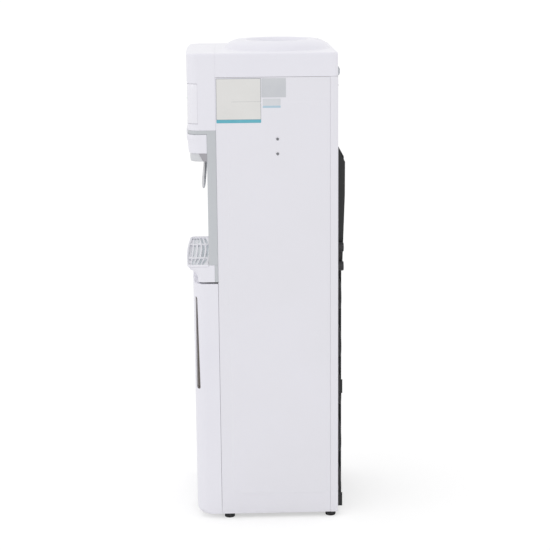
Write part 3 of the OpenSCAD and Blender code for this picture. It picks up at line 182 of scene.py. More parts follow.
def made_of(name, light, dark, rough, grain, relief=1e-5, spread=6.0, metal=0.0, **inputs):
    """A finish: the colour drifts between light and dark in soft patches, the roughness between its two
    values with them, and a fine grain raises the surface by relief, in metres."""
    finish = bpy.data.materials.new(name)
    finish.use_nodes = True
    tree = finish.node_tree
    shader, new = filled(tree.nodes["Principled BSDF"], Metallic=metal, **inputs), tree.nodes.new
    place = new("ShaderNodeTexCoord").outputs["Object"]
    patches = filled(new("ShaderNodeTexNoise"), Scale=spread, Detail=3)
    ramp = new("ShaderNodeValToRGB")
    for stop, position, colour in zip(ramp.color_ramp.elements, (0.35, 0.65), (dark, light)):
        stop.position, stop.color = position, linear(*colour)
    fine = filled(new("ShaderNodeTexNoise"), Scale=grain, Detail=2)
    spans = filled(new("ShaderNodeMapRange"), From_Min=0.3, From_Max=0.7, To_Min=rough[0], To_Max=rough[1])
    bump = filled(new("ShaderNodeBump"), Strength=1.0, Distance=relief)
    for one, other in ((place, patches.inputs["Vector"]), (place, fine.inputs["Vector"]),
                       (patches.outputs["Fac"], ramp.inputs["Fac"]),
                       (ramp.outputs["Color"], shader.inputs["Base Color"]),
                       (patches.outputs["Fac"], spans.inputs["Value"]),
                       (spans.outputs["Result"], shader.inputs["Roughness"]),
                       (fine.outputs["Fac"], bump.inputs["Height"]),
                       (bump.outputs["Normal"], shader.inputs["Normal"])):
        tree.links.new(one, other)
    return finish


white_paint = made_of("white_paint", (230, 229, 236), (228, 227, 233), (0.32, 0.42), 420,
                      spread=3)
field = (y_seam + 23, y_wrap - 2.5, z_body + 42, z_lid - 48)
side_screws = [(26.5, 810.0), (26.5, 780.0)]


def panel_face(y, z, proud=0.4, slope=4.0, corner=12.0, sunk=1.1):
    """The panel's outer face in x. The field stands proud by a smooth step of the distance inside its
    rounded edge, measured over the width of the slope. Round each screw the sheet is sunk, with a
    smooth step of the distance from the screw's head."""
    mid = np.array([field[0] + field[1], field[2] + field[3]]) / 2
    reach = np.array([field[1] - field[0], field[3] - field[2]]) / 2 - corner
    off = np.abs(np.stack([y, z], -1) - mid) - reach
    inside = corner - np.linalg.norm(np.maximum(off, 0), axis=-1) - np.minimum(off.max(-1), 0)
    face = half_w - 0.15 - proud * (1 - smooth(inside / slope))
    for at in side_screws:
        face = face - sunk * (1 - smooth((np.hypot(y - at[0], z - at[1]) - 3.2) / 1.8))
    return face


bend = np.radians(np.linspace(0, 90, 6))
fold_in = np.concatenate([ticks(fold, fold_r, 3), fold_r - fold_r * np.sin(bend[1:])])
fold_y = np.concatenate([np.full(4, y_seam), y_seam + fold_r * (1 - np.cos(bend[1:]))])
flat_y = ticks(-97.3, -75.5, 6, -68, 12, 20, 6, 33, 22, 123, 6, 131, 12, 132.7, 1, 132.95, 1, 136, 1)[1:]
tuck = np.where(flat_y > y_wrap - 0.2, gauge, 0)
panel_z = ticks(z_body, 13.8, 1, 51, 10, 60, 12, 512.5, 40, 518, 1, 773, 22, 787, 22, 803, 4, 817, 22,
                878, 8, 888, 12, 934.4, 12)
panel_y = np.concatenate([fold_y, flat_y])
grid_y, grid_z = np.meshgrid(panel_y, panel_z)
grid_x = panel_face(grid_y, grid_z) - np.concatenate([fold_in, tuck])
hinge_row = (panel_z[:-1] < 13.7) | ((panel_z[:-1] > 512) & (panel_z[:-1] < 517))
keep = ~(hinge_row[:, None] & (np.arange(len(panel_y) - 1) < 6))
panel = np.stack([grid_x, grid_y, grid_z], -1)
piece("side_sheet_right", [walled(panel, gauge, keep)], white_paint, ["side_panel_right"])
piece("side_sheet_left", [walled((panel * [-1, 1, 1])[:, ::-1], gauge, keep[:, ::-1])], white_paint,
      ["side_panel_left"])

# Labels. Three thin stickers of printed film on the right panel, below the cover's edge. They are
# plain fields of colour with a band, and follow the panel's face.


def sticker(name, y, z, finish, lift=0.07, corner=1.2):
    """A film that lies a lift off the panel's face, with its corners rounded: near its upper and lower
    edges each row is shortened as a quarter circle is."""
    near = np.array([0, 0.15, 0.5, corner])
    heights = np.concatenate([z[0] + near, np.linspace(z[0], z[1], 40)[2:-2], z[1] - near[::-1]])
    heights = np.unique(np.clip(heights, *z))
    to_end = np.minimum(heights - z[0], z[1] - heights)
    short = corner - np.sqrt(np.clip(corner ** 2 - np.clip(corner - to_end, 0, corner) ** 2, 0, None))
    t = np.linspace(0, 1, 60)
    ys = (y[0] + short)[:, None] * (1 - t) + (y[1] - short)[:, None] * t
    zs = np.broadcast_to(heights[:, None], ys.shape)
    piece(name, [walled(np.stack([panel_face(ys, zs) + lift, ys, zs], -1), 0.06)], finish)


paper = made_of("label_paper", (225, 224, 222), (221, 220, 218), (0.3, 0.4), 900, 4e-6, spread=12)
border = made_of("label_border", (150, 154, 158), (134, 138, 144), (0.35, 0.45), 700, 4e-6, spread=30)
teal = made_of("label_teal", (104, 181, 198), (90, 173, 191), (0.3, 0.4), 700, 4e-6, spread=20)
slate = made_of("label_slate", (204, 206, 210), (199, 201, 206), (0.35, 0.45), 700, 4e-6, spread=30)
pale = made_of("label_pale", (214, 216, 220), (209, 211, 216), (0.3, 0.4), 700, 4e-6, spread=30)
sky_blue = made_of("label_blue", (180, 205, 219), (172, 199, 215), (0.3, 0.4), 700, 4e-6, spread=30)
sticker("label_front_edge", (-96.2, -6.4), (843.3, 932.6), border, 0.03)
sticker("label_front_field", (-95.4, -7.2), (850.6, 931.6), paper)
sticker("label_front_band", (-96.2, -6.4), (843.5, 850), teal)
sticker("label_upper", (-5.4, 44), (894, 932.4), slate)
sticker("label_lower", (-3, 33), (877.6, 891.6), pale)
sticker("label_lower_band", (-3, 33), (873.2, 877.4), sky_blue)

# Back plate. A painted sheet, folded forward at both sides over the panels, with rows of air slots
# low down for the compressor and high up for the tanks, and a cut-out for the switches.
turn_r, slot_low, slot_high, bezel_z = 2, 7, 5, (851.7, 877.7)
turn_x = half_w - turn_r + turn_r * np.cos(bend)
turn_y = y_back - turn_r + turn_r * np.sin(bend)
back_x = ticks(turn_r - half_w, -112, 3, -90, 1, -58, 2, -10, 2, 10, 1, 20, 1, 90, 2, 100, 1,
               half_w - turn_r, 4)
flange_x = np.array([half_w - 0.6, half_w - 0.2, half_w, half_w, half_w])
flange_y = y_wrap + np.array([0, 0.15, 0.6, 5, 10])
plate_x = np.concatenate([flange_x, turn_x, back_x[-2:0:-1], -turn_x[::-1], -flange_x[::-1]])
plate_y = np.concatenate([flange_y, turn_y, np.full(len(back_x) - 2, y_back), turn_y[::-1], flange_y[::-1]])
rows_low = [z_body + 50 + 22 * k for k in range(8)]
rows_high = [z_lid - 90 + 14 * k for k in range(5)]
plate_z = np.array(sorted([z_body, z_lid, *bezel_z, *range(250, 840, 60)] + rows_low + rows_high
                          + [z + slot_low for z in rows_low] + [z + slot_high for z in rows_high]))
mid_x, mid_z = (plate_x[1:] + plate_x[:-1]) / 2, (plate_z[1:] + plate_z[:-1]) / 2
low_hole = np.isin(plate_z[:-1], rows_low)[:, None] & (np.abs(np.abs(mid_x) - 50) < 40)
high_z = sum((mid_z > z) & (mid_z < z + slot_high) for z in rows_high) > 0
high_hole = high_z[:, None] & (np.abs(mid_x - 60) < 40)
bezel_hole = ((mid_z > bezel_z[0]) & (mid_z < bezel_z[1]))[:, None] & (np.abs(mid_x + 85) < 27)
holes = (low_hole | high_hole | bezel_hole) & (np.abs(mid_x) < half_w - turn_r)
grid_x, grid_z = np.meshgrid(plate_x, plate_z)
plate = np.stack([grid_x, np.broadcast_to(plate_y, grid_x.shape), grid_z], -1)
piece("back_sheet", [walled(plate, gauge, ~holes)], white_paint, ["back_plate"])

# Top cover. One moulding of white plastic with softly rounded edges, a collar drawn up in its middle
# and a well in the collar. It snaps down over the panels and carries the bottle through its seat.
white_abs = made_of("white_abs", (233, 232, 239), (230, 229, 237), (0.28, 0.36), 900, 6e-6,
                    spread=4, Coat_Weight=0.15, Coat_Roughness=0.2)
edge_r, lid_wall, lid_corner, lid_gap, y_well = 3.5, 2.5, 9, 0.3, 32.0
seam = 0.12


def level(line, height):
    """A plan line lifted to a height."""
    return np.column_stack([line, np.broadcast_to(height, len(line))])


def lid_ring(inset, height, front=seam):
    """The cover's plan, shrunk by inset at the sides and the rear, which is round at both rear corners."""
    r, x1, y0, y1 = lid_corner - inset, half_w - inset, y_seam + front, y_back - inset
    a = np.radians(np.linspace(0, 90, 9))
    right = np.stack([x1 - r + r * np.cos(a), y1 - r + r * np.sin(a)], -1)
    side = np.stack([np.full(17, x1), np.linspace(y0, y1 - r, 18)[:-1]], -1)
    rear = np.stack([np.linspace(x1 - r, r - x1, 24)[1:-1], np.full(22, y1)], -1)
    head = np.stack([np.linspace(-x1, x1, 26)[:-1], np.full(25, y0)], -1)
    plan = np.concatenate([head, side, right, rear, right[::-1] * [-1, 1], side[::-1][:-1] * [-1, 1]])
    return level(plan, height)


def well_ring(radius, height, like):
    """A circle round the well, with its points in the same directions as those of a ring of the plan."""
    way = np.arctan2(like[:, 1] - y_well, like[:, 0])
    return level(radius * np.column_stack([np.cos(way), np.sin(way)]) + [0, y_well], height)


arcs = np.radians(np.linspace(0, 90, 8))
brim = lid_ring(edge_r, z_top)
outer = [lid_ring(0, z) for z in np.linspace(z_lid + lid_gap, z_top - edge_r, 5)[:-1]]
outer += [lid_ring(edge_r * (1 - np.cos(a)), z_top - edge_r + edge_r * np.sin(a)) for a in arcs]
collar = [(113, 0), (111.8, 0.4), (110, 2.2), (106, 7), (102, 10.6), (97, 13.6), (92, 15.8), (89, 16.8),
          (87.2, 17.2), (85.8, 17.1), (84.8, 16.5), (84.4, 15.4), (84.3, 14.7), (72, 14.7), (72, -20),
          (72, -43.8), (57, -43.8), (57, -46.3), (74.5, -46.3), (74.5, 12), (83, 12), (98, 6), (106, -2),
          (109, -2.6)]
inner_r = edge_r - lid_wall
hollow = [lid_ring(lid_wall + inner_r * (1 - np.sin(a)), z_top - edge_r + inner_r * np.cos(a), lid_wall)
          for a in arcs]
rings = outer + [well_ring(r, z_top + h, brim) for r, h in collar] + hollow
rings.append(lid_ring(lid_wall, z_lid + lid_gap, lid_wall))
piece("lid", [closed(rings, ends=False)], white_abs, ["top_cover"])

# Bottle seat. A lift-out moulding: a flange that rests on the collar, a funnel for the bottle's
# shoulder, a socket for its neck, and in the middle the hollow probe that pushes the cap's plug in.


def turned(profile, centre, axis="z", sides=32, ends=True):
    """A profile of radius and height turned about an axis. Ends closes it at its first and last point;
    without ends the profile is a loop. The axis is upwards, or to the rear for y."""
    profile = np.asarray(profile, float)
    a = np.linspace(0, 2 * np.pi, sides, endpoint=False)
    r, h = profile[:, :1], np.broadcast_to(profile[:, 1:], (len(profile), sides))
    flat = {"z": [r * np.cos(a), r * np.sin(a), h], "y": [r * np.cos(a), h, -r * np.sin(a)],
            "x": [h, r * np.cos(a), r * np.sin(a)]}[axis]
    return closed(np.stack(flat, -1) + centre, ends)


def softened(points, radius, steps=4):
    """A profile whose corners are cut by short curves: each corner becomes a quadratic curve between
    points that lie the radius, or two fifths of the edge, away from it."""
    p = np.asarray(points, float)
    out = [p[:1]]
    t = np.linspace(0, 1, steps + 1)[:, None]
    for k in range(1, len(p) - 1):
        before, after = p[k - 1] - p[k], p[k + 1] - p[k]
        one, two = np.linalg.norm(before), np.linalg.norm(after)
        a, b = p[k] + before * min(radius / one, 0.4), p[k] + after * min(radius / two, 0.4)
        out.append((1 - t) ** 2 * a + 2 * t * (1 - t) * p[k] + t ** 2 * b)
    return np.concatenate(out + [p[-1:]])


funnel = [(0, 915), (35.5, 915), (35.5, 954), (68, 997.4), (84, 997.4), (84, 998.7), (83.3, 999.6),
          (82, 1000), (66, 1000), (60, 993), (36, 962), (33, 956.7), (33, 918), (0.0, 918)]
dome = np.radians(np.linspace(0, 90, 7))
probe = [(11 * np.cos(a), 974 + 11 * np.sin(a)) for a in dome[:-1]] + [(0, 985)]
stalk = softened([(0, 915.5), (15, 915.5), (15, 921), (11, 925), (11, 974)], 1.5)[:-1].tolist()
seat = [turned(softened(funnel, 0.7), (0, y_well, 0), sides=96),
        turned(stalk + probe, (0, y_well, 0), sides=40)]
piece("seat_funnel", seat, white_abs, ["bottle_seat"], "seat")
# Two small near-black discs on the sides of the solid probe stand for its ports: painted shade where the
# openings would be dark inside.
port = turned([(0, 0), (3.5, 0), (3.5, 0.6), (2.9, 0.9), (0, 0.9)], (0, 0, 0), "x", 24)
painted_hole_shade = made_of("painted_hole_shade", (40, 40, 42), (24, 24, 26), (0.6, 0.8), 300)
piece("seat_port_shade", [(port[0] * [s, 1, 1] + [s * 10.6, y_well, 968], port[1]) for s in (1, -1)], painted_hole_shade,
      body="seat")

# Front cover. A white moulding that wraps the front and both corners above the taps. A shallow pocket
# holds the display panel, a paler film with three lamps behind it.
bow = 4.3


def front_line(front, corner, back, inset=0.0, marks=(), trim=False):
    """Plan of a bowed front from its left rear to its right rear: a wide circle for the face that meets
    a small circle at each corner. Marks are two places in y where a point has to lie on both corners, and
    trim rounds the left rear corner off about the door's hinge."""
    big = (half_w ** 2 + bow ** 2) / (2 * bow)
    cy, kx = front + big, half_w - corner
    ky = cy - np.sqrt((big - corner) ** 2 - kx ** 2)
    lean = np.degrees(np.arctan2(kx, cy - ky))
    at = [360 + np.degrees(np.arcsin((y - ky) / corner)) for y in marks]
    stops = (at[0], 7, at[1], 2, 360, 6) if marks else (360, 12)
    a = np.radians(ticks(270 + lean, *stops))
    side = np.stack([kx + (corner - inset) * np.cos(a), ky + (corner - inset) * np.sin(a)], -1)
    b = np.radians(np.linspace(270, 270 + lean, 17)[:-1])
    face = np.stack([(big - inset) * np.cos(b), cy + (big - inset) * np.sin(b)], -1)
    run = np.stack([np.full(6, half_w - inset), np.linspace(ky, back, 7)[1:]], -1)
    left_run = run
    if trim:
        edge = np.radians(np.linspace(47.7, 90, 7))
        round_off = np.stack([half_w - 7 + 10.4 * np.cos(edge), y_seam - 11 + 10.4 * np.sin(edge)], -1)
        left_run = np.stack([np.full(5, half_w - inset), np.linspace(ky, round_off[0, 1], 6)[1:]], -1)
        left_run = np.concatenate([left_run, np.minimum(round_off[1:], [half_w, back]),
                                   [[half_w - 9, back]]])
    right = np.concatenate([face, side, run])
    left = np.concatenate([face, side, left_run])
    return np.concatenate([left[:0:-1] * [-1, 1], right])


def drawn_back(row, y, share=1):
    """A row of points moved a share of their way to y."""
    return np.column_stack([row[:, 0], row[:, 1] + (y - row[:, 1]) * share, row[:, 2]])


def copies(form, places, scale=1):
    """A form at several places, scaled about the origin first."""
    return [(form[0] * scale + place, form[1]) for place in places]


y_cover, z_cover, cover_r, z_lamps = -157.5, 829.0, 22, 882.5
pocket, wrap = 1.8, (-133.9, -133.5)
plain = front_line(y_cover, cover_r, y_seam, 0, wrap)
sunk = front_line(y_cover, cover_r, y_seam, pocket, wrap)
in_zone = (plain[:, 1] < wrap[0] + 0.1)[:, None]
rows = [level(np.where(in_zone & (842.3 < z < 922.7), sunk, plain), z)
        for z in ticks(z_cover, 842, 3, 842.4, 1, 922.6, 12, 923, 1, z_top - edge_r, 8)]
rows += [level(front_line(y_cover, cover_r, y_seam, edge_r * (1 - np.cos(a)), wrap),
               z_top - edge_r + edge_r * np.sin(a)) for a in arcs[1:]]
rows += [drawn_back(rows[-1], y_seam, t) for t in (0.5, 1)]
piece("front_skin", [walled(rows, 3)], white_abs, ["front_cover"])
film = made_of("display_film", (236, 235, 241), (233, 232, 239), (0.18, 0.24), 1400, 3e-6,
               spread=5, Coat_Weight=0.4, Coat_Roughness=0.08)
rows = [level(front_line(y_cover, cover_r, y_seam, inset, wrap)[in_zone[:, 0]], z)
        for z, inset in ((842.7, 0.9), (842.9, 0.4), (843.4, 0.25), (860, 0.25), (z_lamps, 0.25),
                         (905, 0.25), (921.6, 0.25), (922.1, 0.4), (922.3, 0.9))]
piece("display_film", [walled(rows, 0.8)], film, ["display_panel"])
lamp_glow = made_of("lamp_lens", (120, 205, 150), (104, 192, 138), (0.12, 0.2), 600, 2e-6,
                    Transmission_Weight=0.3)
lens_form = turned([(0, 0.9), (1.1, 0.8), (1.9, 0.45), (2.4, 0.0), (2.4, -3), (0, -3)], (0, 0, 0), "y")
lamps_at = [(x, y_cover + 0.4, z_lamps) for x in (-30, 0, 30)]
piece("lamp_lenses", copies(lens_form, lamps_at, [1, -1, 1]), lamp_glow, ["indicator_lenses"])

# Niche frame. One silver grey moulding behind the taps, held at the cabinet's front: two wings, a
# shallow hollow for the levers between them, a floor at the tray, and the band under the front cover.
silver = made_of("silver_abs", (196, 199, 203), (191, 194, 198), (0.38, 0.5), 700, spread=5)
y_niche, y_recess, y_rest, wing, wall = -116.5, -104.5, -105, 120.0, 2.2
z_nook, z_skirt, z_hood, z_band = (516.2, 534, 552.4), 766, 782, (821, 828.8)
path = [(half_w, y_seam - seam), (half_w, y_niche), (wing, y_niche), (wing, y_recess), (0, y_recess)]
half_plan = softened(path, 1.5, 5)
plan = np.concatenate([half_plan, half_plan[-2::-1] * [-1, 1]])[::-1]
walls = walled([level(plan, z) for z in ticks(552.2, z_skirt, 8, z_band[0], 4)], wall)
foot = softened([(half_w, y_seam - seam), (half_w, y_rest), (130, y_rest)], 1.0)[::-1]
strips = [walled([level(line, z) for z in z_nook], wall) for line in (foot, foot[::-1] * [-1, 1])]
band = [level(front_line(y_cover, cover_r, y_niche, i), z)
        for z, i in ((828.8, 2.6), (828.8, 0.5), (828.5, 0.1), (828.2, 0), (822.2, 0), (821.4, 0.3),
                     (821.1, 1), (821.1, 9))]
sides = [walled([[[s * half_w, y, z] for y in (y_seam - seam, y_niche)][::-s] for z in z_band], wall)
         for s in (1, -1)]
base = [[[x, y, z] for x in (-119.6, 0, 119.6)]
        for y, z in ((y_niche - 0.2, 548.6), (y_niche - 0.2, 552.3), (y_recess + 0.2, 552.3))]
piece("niche_frame", [walls, walled(band[::-1], wall), walled(base, 2)] + strips + sides, silver,
      ["niche_panel"])

# Tap housing. A white shell over the three taps that swells out under the band, and below it a grey
# skirt whose floor has an opening for each nozzle and lever. Both are clipped to the niche frame.
tap_x = (80.0, 0.0, -80.0)
swell = np.array([(z_hood, -155.3), (786, -156.5), (790, -157.0), (802, -157.3), (804.5, -157.6),
                  (806.5, -158.3), (808.5, -159.2), (810.5, -159.7), (813, -159.8)])
edges = [(782.2, 4), (782.2, 1.2), (782.5, 0.5), (783.2, 0.1)]
edges += [(z, 0) for z in ticks(784.2, 786, 1, 790, 2, 802, 2, 803.5, 1, 810.5, 7, 813, 1, 818.6, 1)]
edges += [(819.9, 0.3), (820.6, 1.0), (820.9, 2.2)]
hood = [level(front_line(np.interp(z, *swell.T) + i, cover_r, y_niche) * [1 - i / half_w, 1], z)
        for z, i in edges]
piece("tap_hood", [walled(hood, lid_wall)], white_abs, ["tap_housing"])
skirt_grey = made_of("skirt_grey", (212, 213, 216), (207, 208, 212), (0.45, 0.58), 700)


def slanted(z, foot):
    """The rear edge of the skirt in y: it slants forward by half of the height over its foot."""
    return foot - (z - z_skirt) / 2


def cut_off(line, back, steps=60):
    """A plan line that ends at y = back on both sides, spread out again in equal steps of its length."""
    half = line[len(line) // 2:]
    half = np.concatenate([half[half[:, 1] < back - 0.01],
                           [[np.interp(back, half[:, 1], half[:, 0]), back]]])
    run = np.concatenate([[0], np.cumsum(np.linalg.norm(np.diff(half, axis=0), axis=1))])
    even = np.linspace(0, run[-1], steps + 1)
    half = np.column_stack([np.interp(even, run, half[:, 0]), np.interp(even, run, half[:, 1])])
    return np.concatenate([half[:0:-1] * [-1, 1], half])


skirt = [level(cut_off(front_line(y, cover_r, y_niche, i), slanted(z, -124.3)), z)
         for y, z, i in ((-154.4, z_hood, 1), (-154.3, 777, 1), (-154.2, 772, 1), (-154.1, 768, 1),
                         (-154.0, 766.8, 1.2), (-153.9, 766.2, 1.9))]
floor_line, opening = skirt[-1], 17
skirt += [drawn_back(floor_line, y) for y in (np.maximum(floor_line[:, 1], -141.5), y_niche)]
mid_x = (floor_line[1:, 0] + floor_line[:-1, 0]) / 2
keep = np.ones((len(skirt) - 1, len(mid_x)), bool)
keep[-1] = ~(sum(np.abs(mid_x - x) < opening for x in tap_x) > 0) & (np.abs(mid_x) < half_w - 2)
piece("tap_skirt_shell", [walled(skirt[::-1], wall, keep[::-1])], skirt_grey, ["tap_skirt"])
# Behind the skirt's slanted rear edges, two flat sheets of darker grey close its sides. They are painted
# shade for the hollow under the housing where the levers hang.
painted_shade_grey = made_of("painted_shade_grey", (172, 170, 175), (164, 162, 168), (0.5, 0.62), 600)
shade_sheets = [walled([[[s * (half_w - wall), y, z] for y in (y_niche, slanted(z, -124))][::s]
                 for z in (766.4, 772, z_hood)], 2.0) for s in (1, -1)]
piece("skirt_painted_shade", shade_sheets, painted_shade_grey)

# Levers. Each is one plated casting that hangs from a pin on its tap: a fork and a finger inside the
# housing, and below it a paddle that a cup pushes back. It is thin at its root and full at its end.
plating = made_of("lever_plating", (222, 222, 225), (190, 189, 191), (0.22, 0.38), 90, 2e-5,
                  spread=28, metal=1.0)


def paddle(stations, sides=24):
    """Rounded oblong sections along a path in the middle plane: each station is y, z, half thickness and
    half width, and the section is a superellipse of power three turned to face along the path."""
    s = np.asarray(stations, float)
    way = np.gradient(s[:, :2], axis=0)
    way /= np.linalg.norm(way, axis=1, keepdims=True)
    a = np.linspace(0, 2 * np.pi, sides, endpoint=False)
    u, v = np.cos(a), np.sin(a)
    thick = s[:, 2:3] * np.sign(u) * np.abs(u) ** (2 / 3)
    wide = s[:, 3:4] * np.sign(v) * np.abs(v) ** (2 / 3)
    y = s[:, :1] + thick * -way[:, 1:]
    z = s[:, 1:2] + thick * way[:, :1]
    return closed(np.stack([wide, y, z], -1))


def through(points, steps):
    """A smooth curve through points: a cubic runs between each pair, and its slope at either point is half
    of the way from the point before that one to the point after it."""
    p = np.asarray(points, float)
    p = np.concatenate([2 * p[:1] - p[1:2], p, 2 * p[-1:] - p[-2:-1]])
    t = np.linspace(0, 1, steps + 1)[:-1, None]
    runs = [0.5 * (2 * b + (c - a) * t + (2 * a - 5 * b + 4 * c - d) * t ** 2
                   + (3 * b - a - 3 * c + d) * t ** 3) for a, b, c, d in zip(p, p[1:], p[2:], p[3:])]
    return np.concatenate(runs + [p[-2:-1]])


blade = through([(-122.5, 775, 2.6, 7.5), (-122.4, 766, 2.4, 6.5), (-122.4, 752, 2.5, 6.2),
                 (-122.8, 740, 3.2, 7.2), (-123.8, 727, 4.0, 8.6), (-124.8, 714, 4.1, 8.9),
                 (-125.5, 706, 3.5, 8.2), (-125.8, 702, 2.4, 6), (-125.9, 700.4, 1.0, 3)], 4)
arm = paddle(through([(-123, 772, 2.8, 1.6), (-123, 784, 2.6, 1.6), (-123, 796, 3.4, 1.65),
                      (-123, 804, 2.8, 1.6), (-123, 807.5, 2.4, 1.5)], 4), 20)
bridge = paddle([(-120.4, 805.8, 1.7, 12), (-123, 805.8, 1.9, 12), (-126, 805.8, 1.8, 10.5)], 20)
finger = paddle([(-124, 805.8, 1.8, 4.5), (-130, 805.7, 1.8, 4.2), (-134.4, 805.6, 1.6, 3.6)], 20)
yoke = paddle([(-120.6, 771.5, 2.4, 12), (-123, 771.5, 2.6, 12), (-125.4, 771.5, 2.4, 12)], 20)
lever = [paddle(blade), bridge, finger, yoke] + copies(arm, [(10.5, 0, 0), (-10.5, 0, 0)])
for name, x in zip(("cold", "room", "hot"), tap_x):
    piece("lever_paddle_" + name, [(p + [x, 0, 0], q) for p, q in lever], plating,
          ["tap_lever_" + name], "lever_" + name)

# Drip tray. The white front curves back under its nose to the door. In it lies a grey basin, and on both
# a white grille with a raised rim: basin and grille lift out for washing.
z_rim, z_sill, z_deck, y_tray, y_grille, tray_r = 552.0, 548.5, 550.5, -163.5, -165, 12


def tray_line(y, inset=0.0, back=y_rest):
    """The tray's plan for a front at y, with its corners rounded."""
    return front_line(y, tray_r, back, inset)


def lip(line):
    """Height of the nose's lower edge: it hangs down over the door and curves up to the sides by a smooth
    step of the way back."""
    return 513.2 + 2.9 * smooth((line[:, 1] + 142.5) / 7)


nose = through([(517.2, -143.2), (520, -143.2), (526, -143.8), (531, -146), (538, -150.4), (543, -156.5),
                (546, -161), (547.4, -163), (548.1, y_tray)], 3)
edge_line = tray_line(-143)
rows = [level(tray_line(-143, i), lip(edge_line) + up)
        for i, up in ((6, 0), (0.9, 0), (0.3, 0.2), (0, 0.8))]
rows += [level(tray_line(y), z) for z, y in nose]
rows += [level(tray_line(y_tray, i), z) for z, i in ((548.3, 0.4), (548.3, 6.6), (546, 6.8), (541, 6.8))]
horns = [closed([[[s * x, y, z] for x, y in ((121, -116.9), (154.9 - i, -116.9), (154.9 - i, y_rest),
                                             (121, y_rest))]
                 for z, i in ((548, 0), (551.4, 0), (551.85, 0.2), (552.1, 0.7))]) for s in (1, -1)]
# The basin is light grey, and it also glows a little of itself in pale blue grey so that its deep bowl
# shows lighter through the grille's slots: painted light.
basin_grey_painted_light = made_of("basin_grey_painted_light", (204, 206, 209), (198, 200, 204), (0.4, 0.55), 500,
                     Emission_Color=linear(206, 213, 215), Emission_Strength=0.27)


def oblong(x, y0, y1, radius, height, sides=6):
    """A level rectangle with round corners, from minus x to x and from y0 to y1."""
    a = np.radians(np.linspace(0, 90, sides))
    mid = (y0 + y1) / 2
    ex, ey = x - radius, (y1 - y0) / 2 - radius
    quarter = np.column_stack([ex + radius * np.cos(a), ey + radius * np.sin(a)])
    ring = np.concatenate([quarter, quarter[::-1] * [-1, 1], -quarter, quarter[::-1] * [1, -1]])
    return level(ring + [0, mid], height)


def around(line, places=33):
    """A plan line closed behind with more places on its straight rear edge."""
    t = np.linspace(0, 1, places)[1:-1, None]
    return np.concatenate([line, line[-1:] * (1 - t) + line[:1] * t])


brink = around(tray_line(y_tray, 7, -117.3))
mouth = np.clip(brink, [-140, -139], [140, -117.3])
bed = [level(brink, 548.1), level(brink, 545.4), level(mouth, 545.4), level(mouth, 544.6),
       level(mouth * [131.4 / 140, 1], 520), level(mouth * [130.6 / 140, 0.99] + [0, -1.28], 519.2)]
bed.append(bed[-1] * [1, 0, 1] + [0, -128, 0])
bed = np.concatenate([bed, np.array(bed)[:, :1]], axis=1)
piece("tray_front", [walled(rows, wall), walled(bed, 1.2)] + horns, white_abs,
      ["tray_apron"])
bowl = [oblong(*edge) for edge in (
    (129.6, -136.4, -119.8, 5, 523.3), (131.6, -137.9, -118.4, 5, 524), (132.6, -138.3, -118, 4, 526),
    (139.2, -138.3, -118, 3, 545.8), (139.4, -138.3, -118, 3, 547), (137.4, -136.3, -120, 3, 547),
    (137.1, -136.3, -120, 3, 545.8), (130.9, -136.2, -120.1, 4, 528), (129.6, -135, -121.4, 4, 525.6),
    (127.6, -133, -123.2, 3, 525.2))]
flange_line = around(tray_line(y_tray, 7, -117.8))
hole = np.clip(flange_line, [-137.6, -136.5], [137.6, -119.8])
shoulder = flange_line * [0.998, 1] + [0, 0.2]
tier = [level(line, z) for line, z in ((flange_line, 545.9), (flange_line, 547), (shoulder, 547.2),
                                       (hole, 547.2), (hole, 545.9))]
pins = [turned([(0, 546.5), (2.4, 546.5), (2.4, 549.1), (2, 549.4), (0, 549.4)], (s * 144, -122, 0),
               sides=20) for s in (1, -1)]
piece("basin_bowl", [closed(bowl), closed(tier, ends=False)] + pins, basin_grey_painted_light,
      ["drip_basin"], "basin")
grille_bows, slot_x, bar_gap, rib_x = (-1.5, 1.7, 5.0, 7.5, 9.0), 140, 2.2, 72.0


def slot_line(row, x):
    """Where a slot runs: the rows lie a pitch apart and bend forward with the square of x."""
    return -157.6 + 9.3 * row - np.interp(row, range(5), grille_bows) * (x / slot_x) ** 2


def slotted(line):
    """A ring of the grille's plan drawn in to the edge of the slotted ground."""
    x = np.clip(line[:, 0], -slot_x, slot_x)
    return np.column_stack([x, np.clip(line[:, 1], slot_line(0, x) - bar_gap, slot_line(4, x) + bar_gap)])


deck = around(tray_line(y_grille, 4.6, -117.2))
rim = [level(around(tray_line(y_grille, i, -117.2)), z)
       for z, i in ((z_sill, 0.4), (z_sill + 0.1, 0.1), (z_sill + 0.4, 0), (551.2, 0), (551.7, 0.2),
                    (551.95, 0.6), (z_rim, 1.1), (z_rim, 2.5), (551.9, 3), (551.5, 3.4), (550.9, 3.55),
                    (550.6, 3.8))]
grille = [closed(rim + [level(deck, z_deck), level(slotted(deck), z_deck), level(slotted(deck), z_sill)],
                 ends=False)]
across_x = np.linspace(-slot_x - 0.8, slot_x + 0.8, 49)
crown = np.radians([-60, 0, 25, 55, 90, 125, 155, 180, 240])
for row in range(4):
    half = (slot_line(row + 1, across_x) - slot_line(row, across_x)) / 2 - bar_gap
    middle = (slot_line(row + 1, across_x) + slot_line(row, across_x)) / 2
    y = middle[:, None] + half[:, None] * np.cos(crown) * [0.9, 1, 1, 1, 1, 1, 1, 1, 0.9]
    drop = np.array([-2, -1.4, -0.8, -0.2, 0, -0.2, -0.8, -1.4, -2])
    bar = np.stack(np.broadcast_arrays(across_x[:, None], y, drop + z_deck), -1)
    grille.append(closed(bar[:, ::-1]))
for x in (-rib_x, rib_x):
    a, b = slot_line(0, x) - 2.6, slot_line(4, x) + 2.6
    rib = [oblong(w, a, b, 2, z) for w, z in ((8, z_sill), (8, 550), (7.7, 550.4), (7, 550.55))]
    grille.append(closed(np.array(rib) + [x, 0, 0]))
piece("grille_bars", grille, white_abs, ["drip_grille"], "grille")

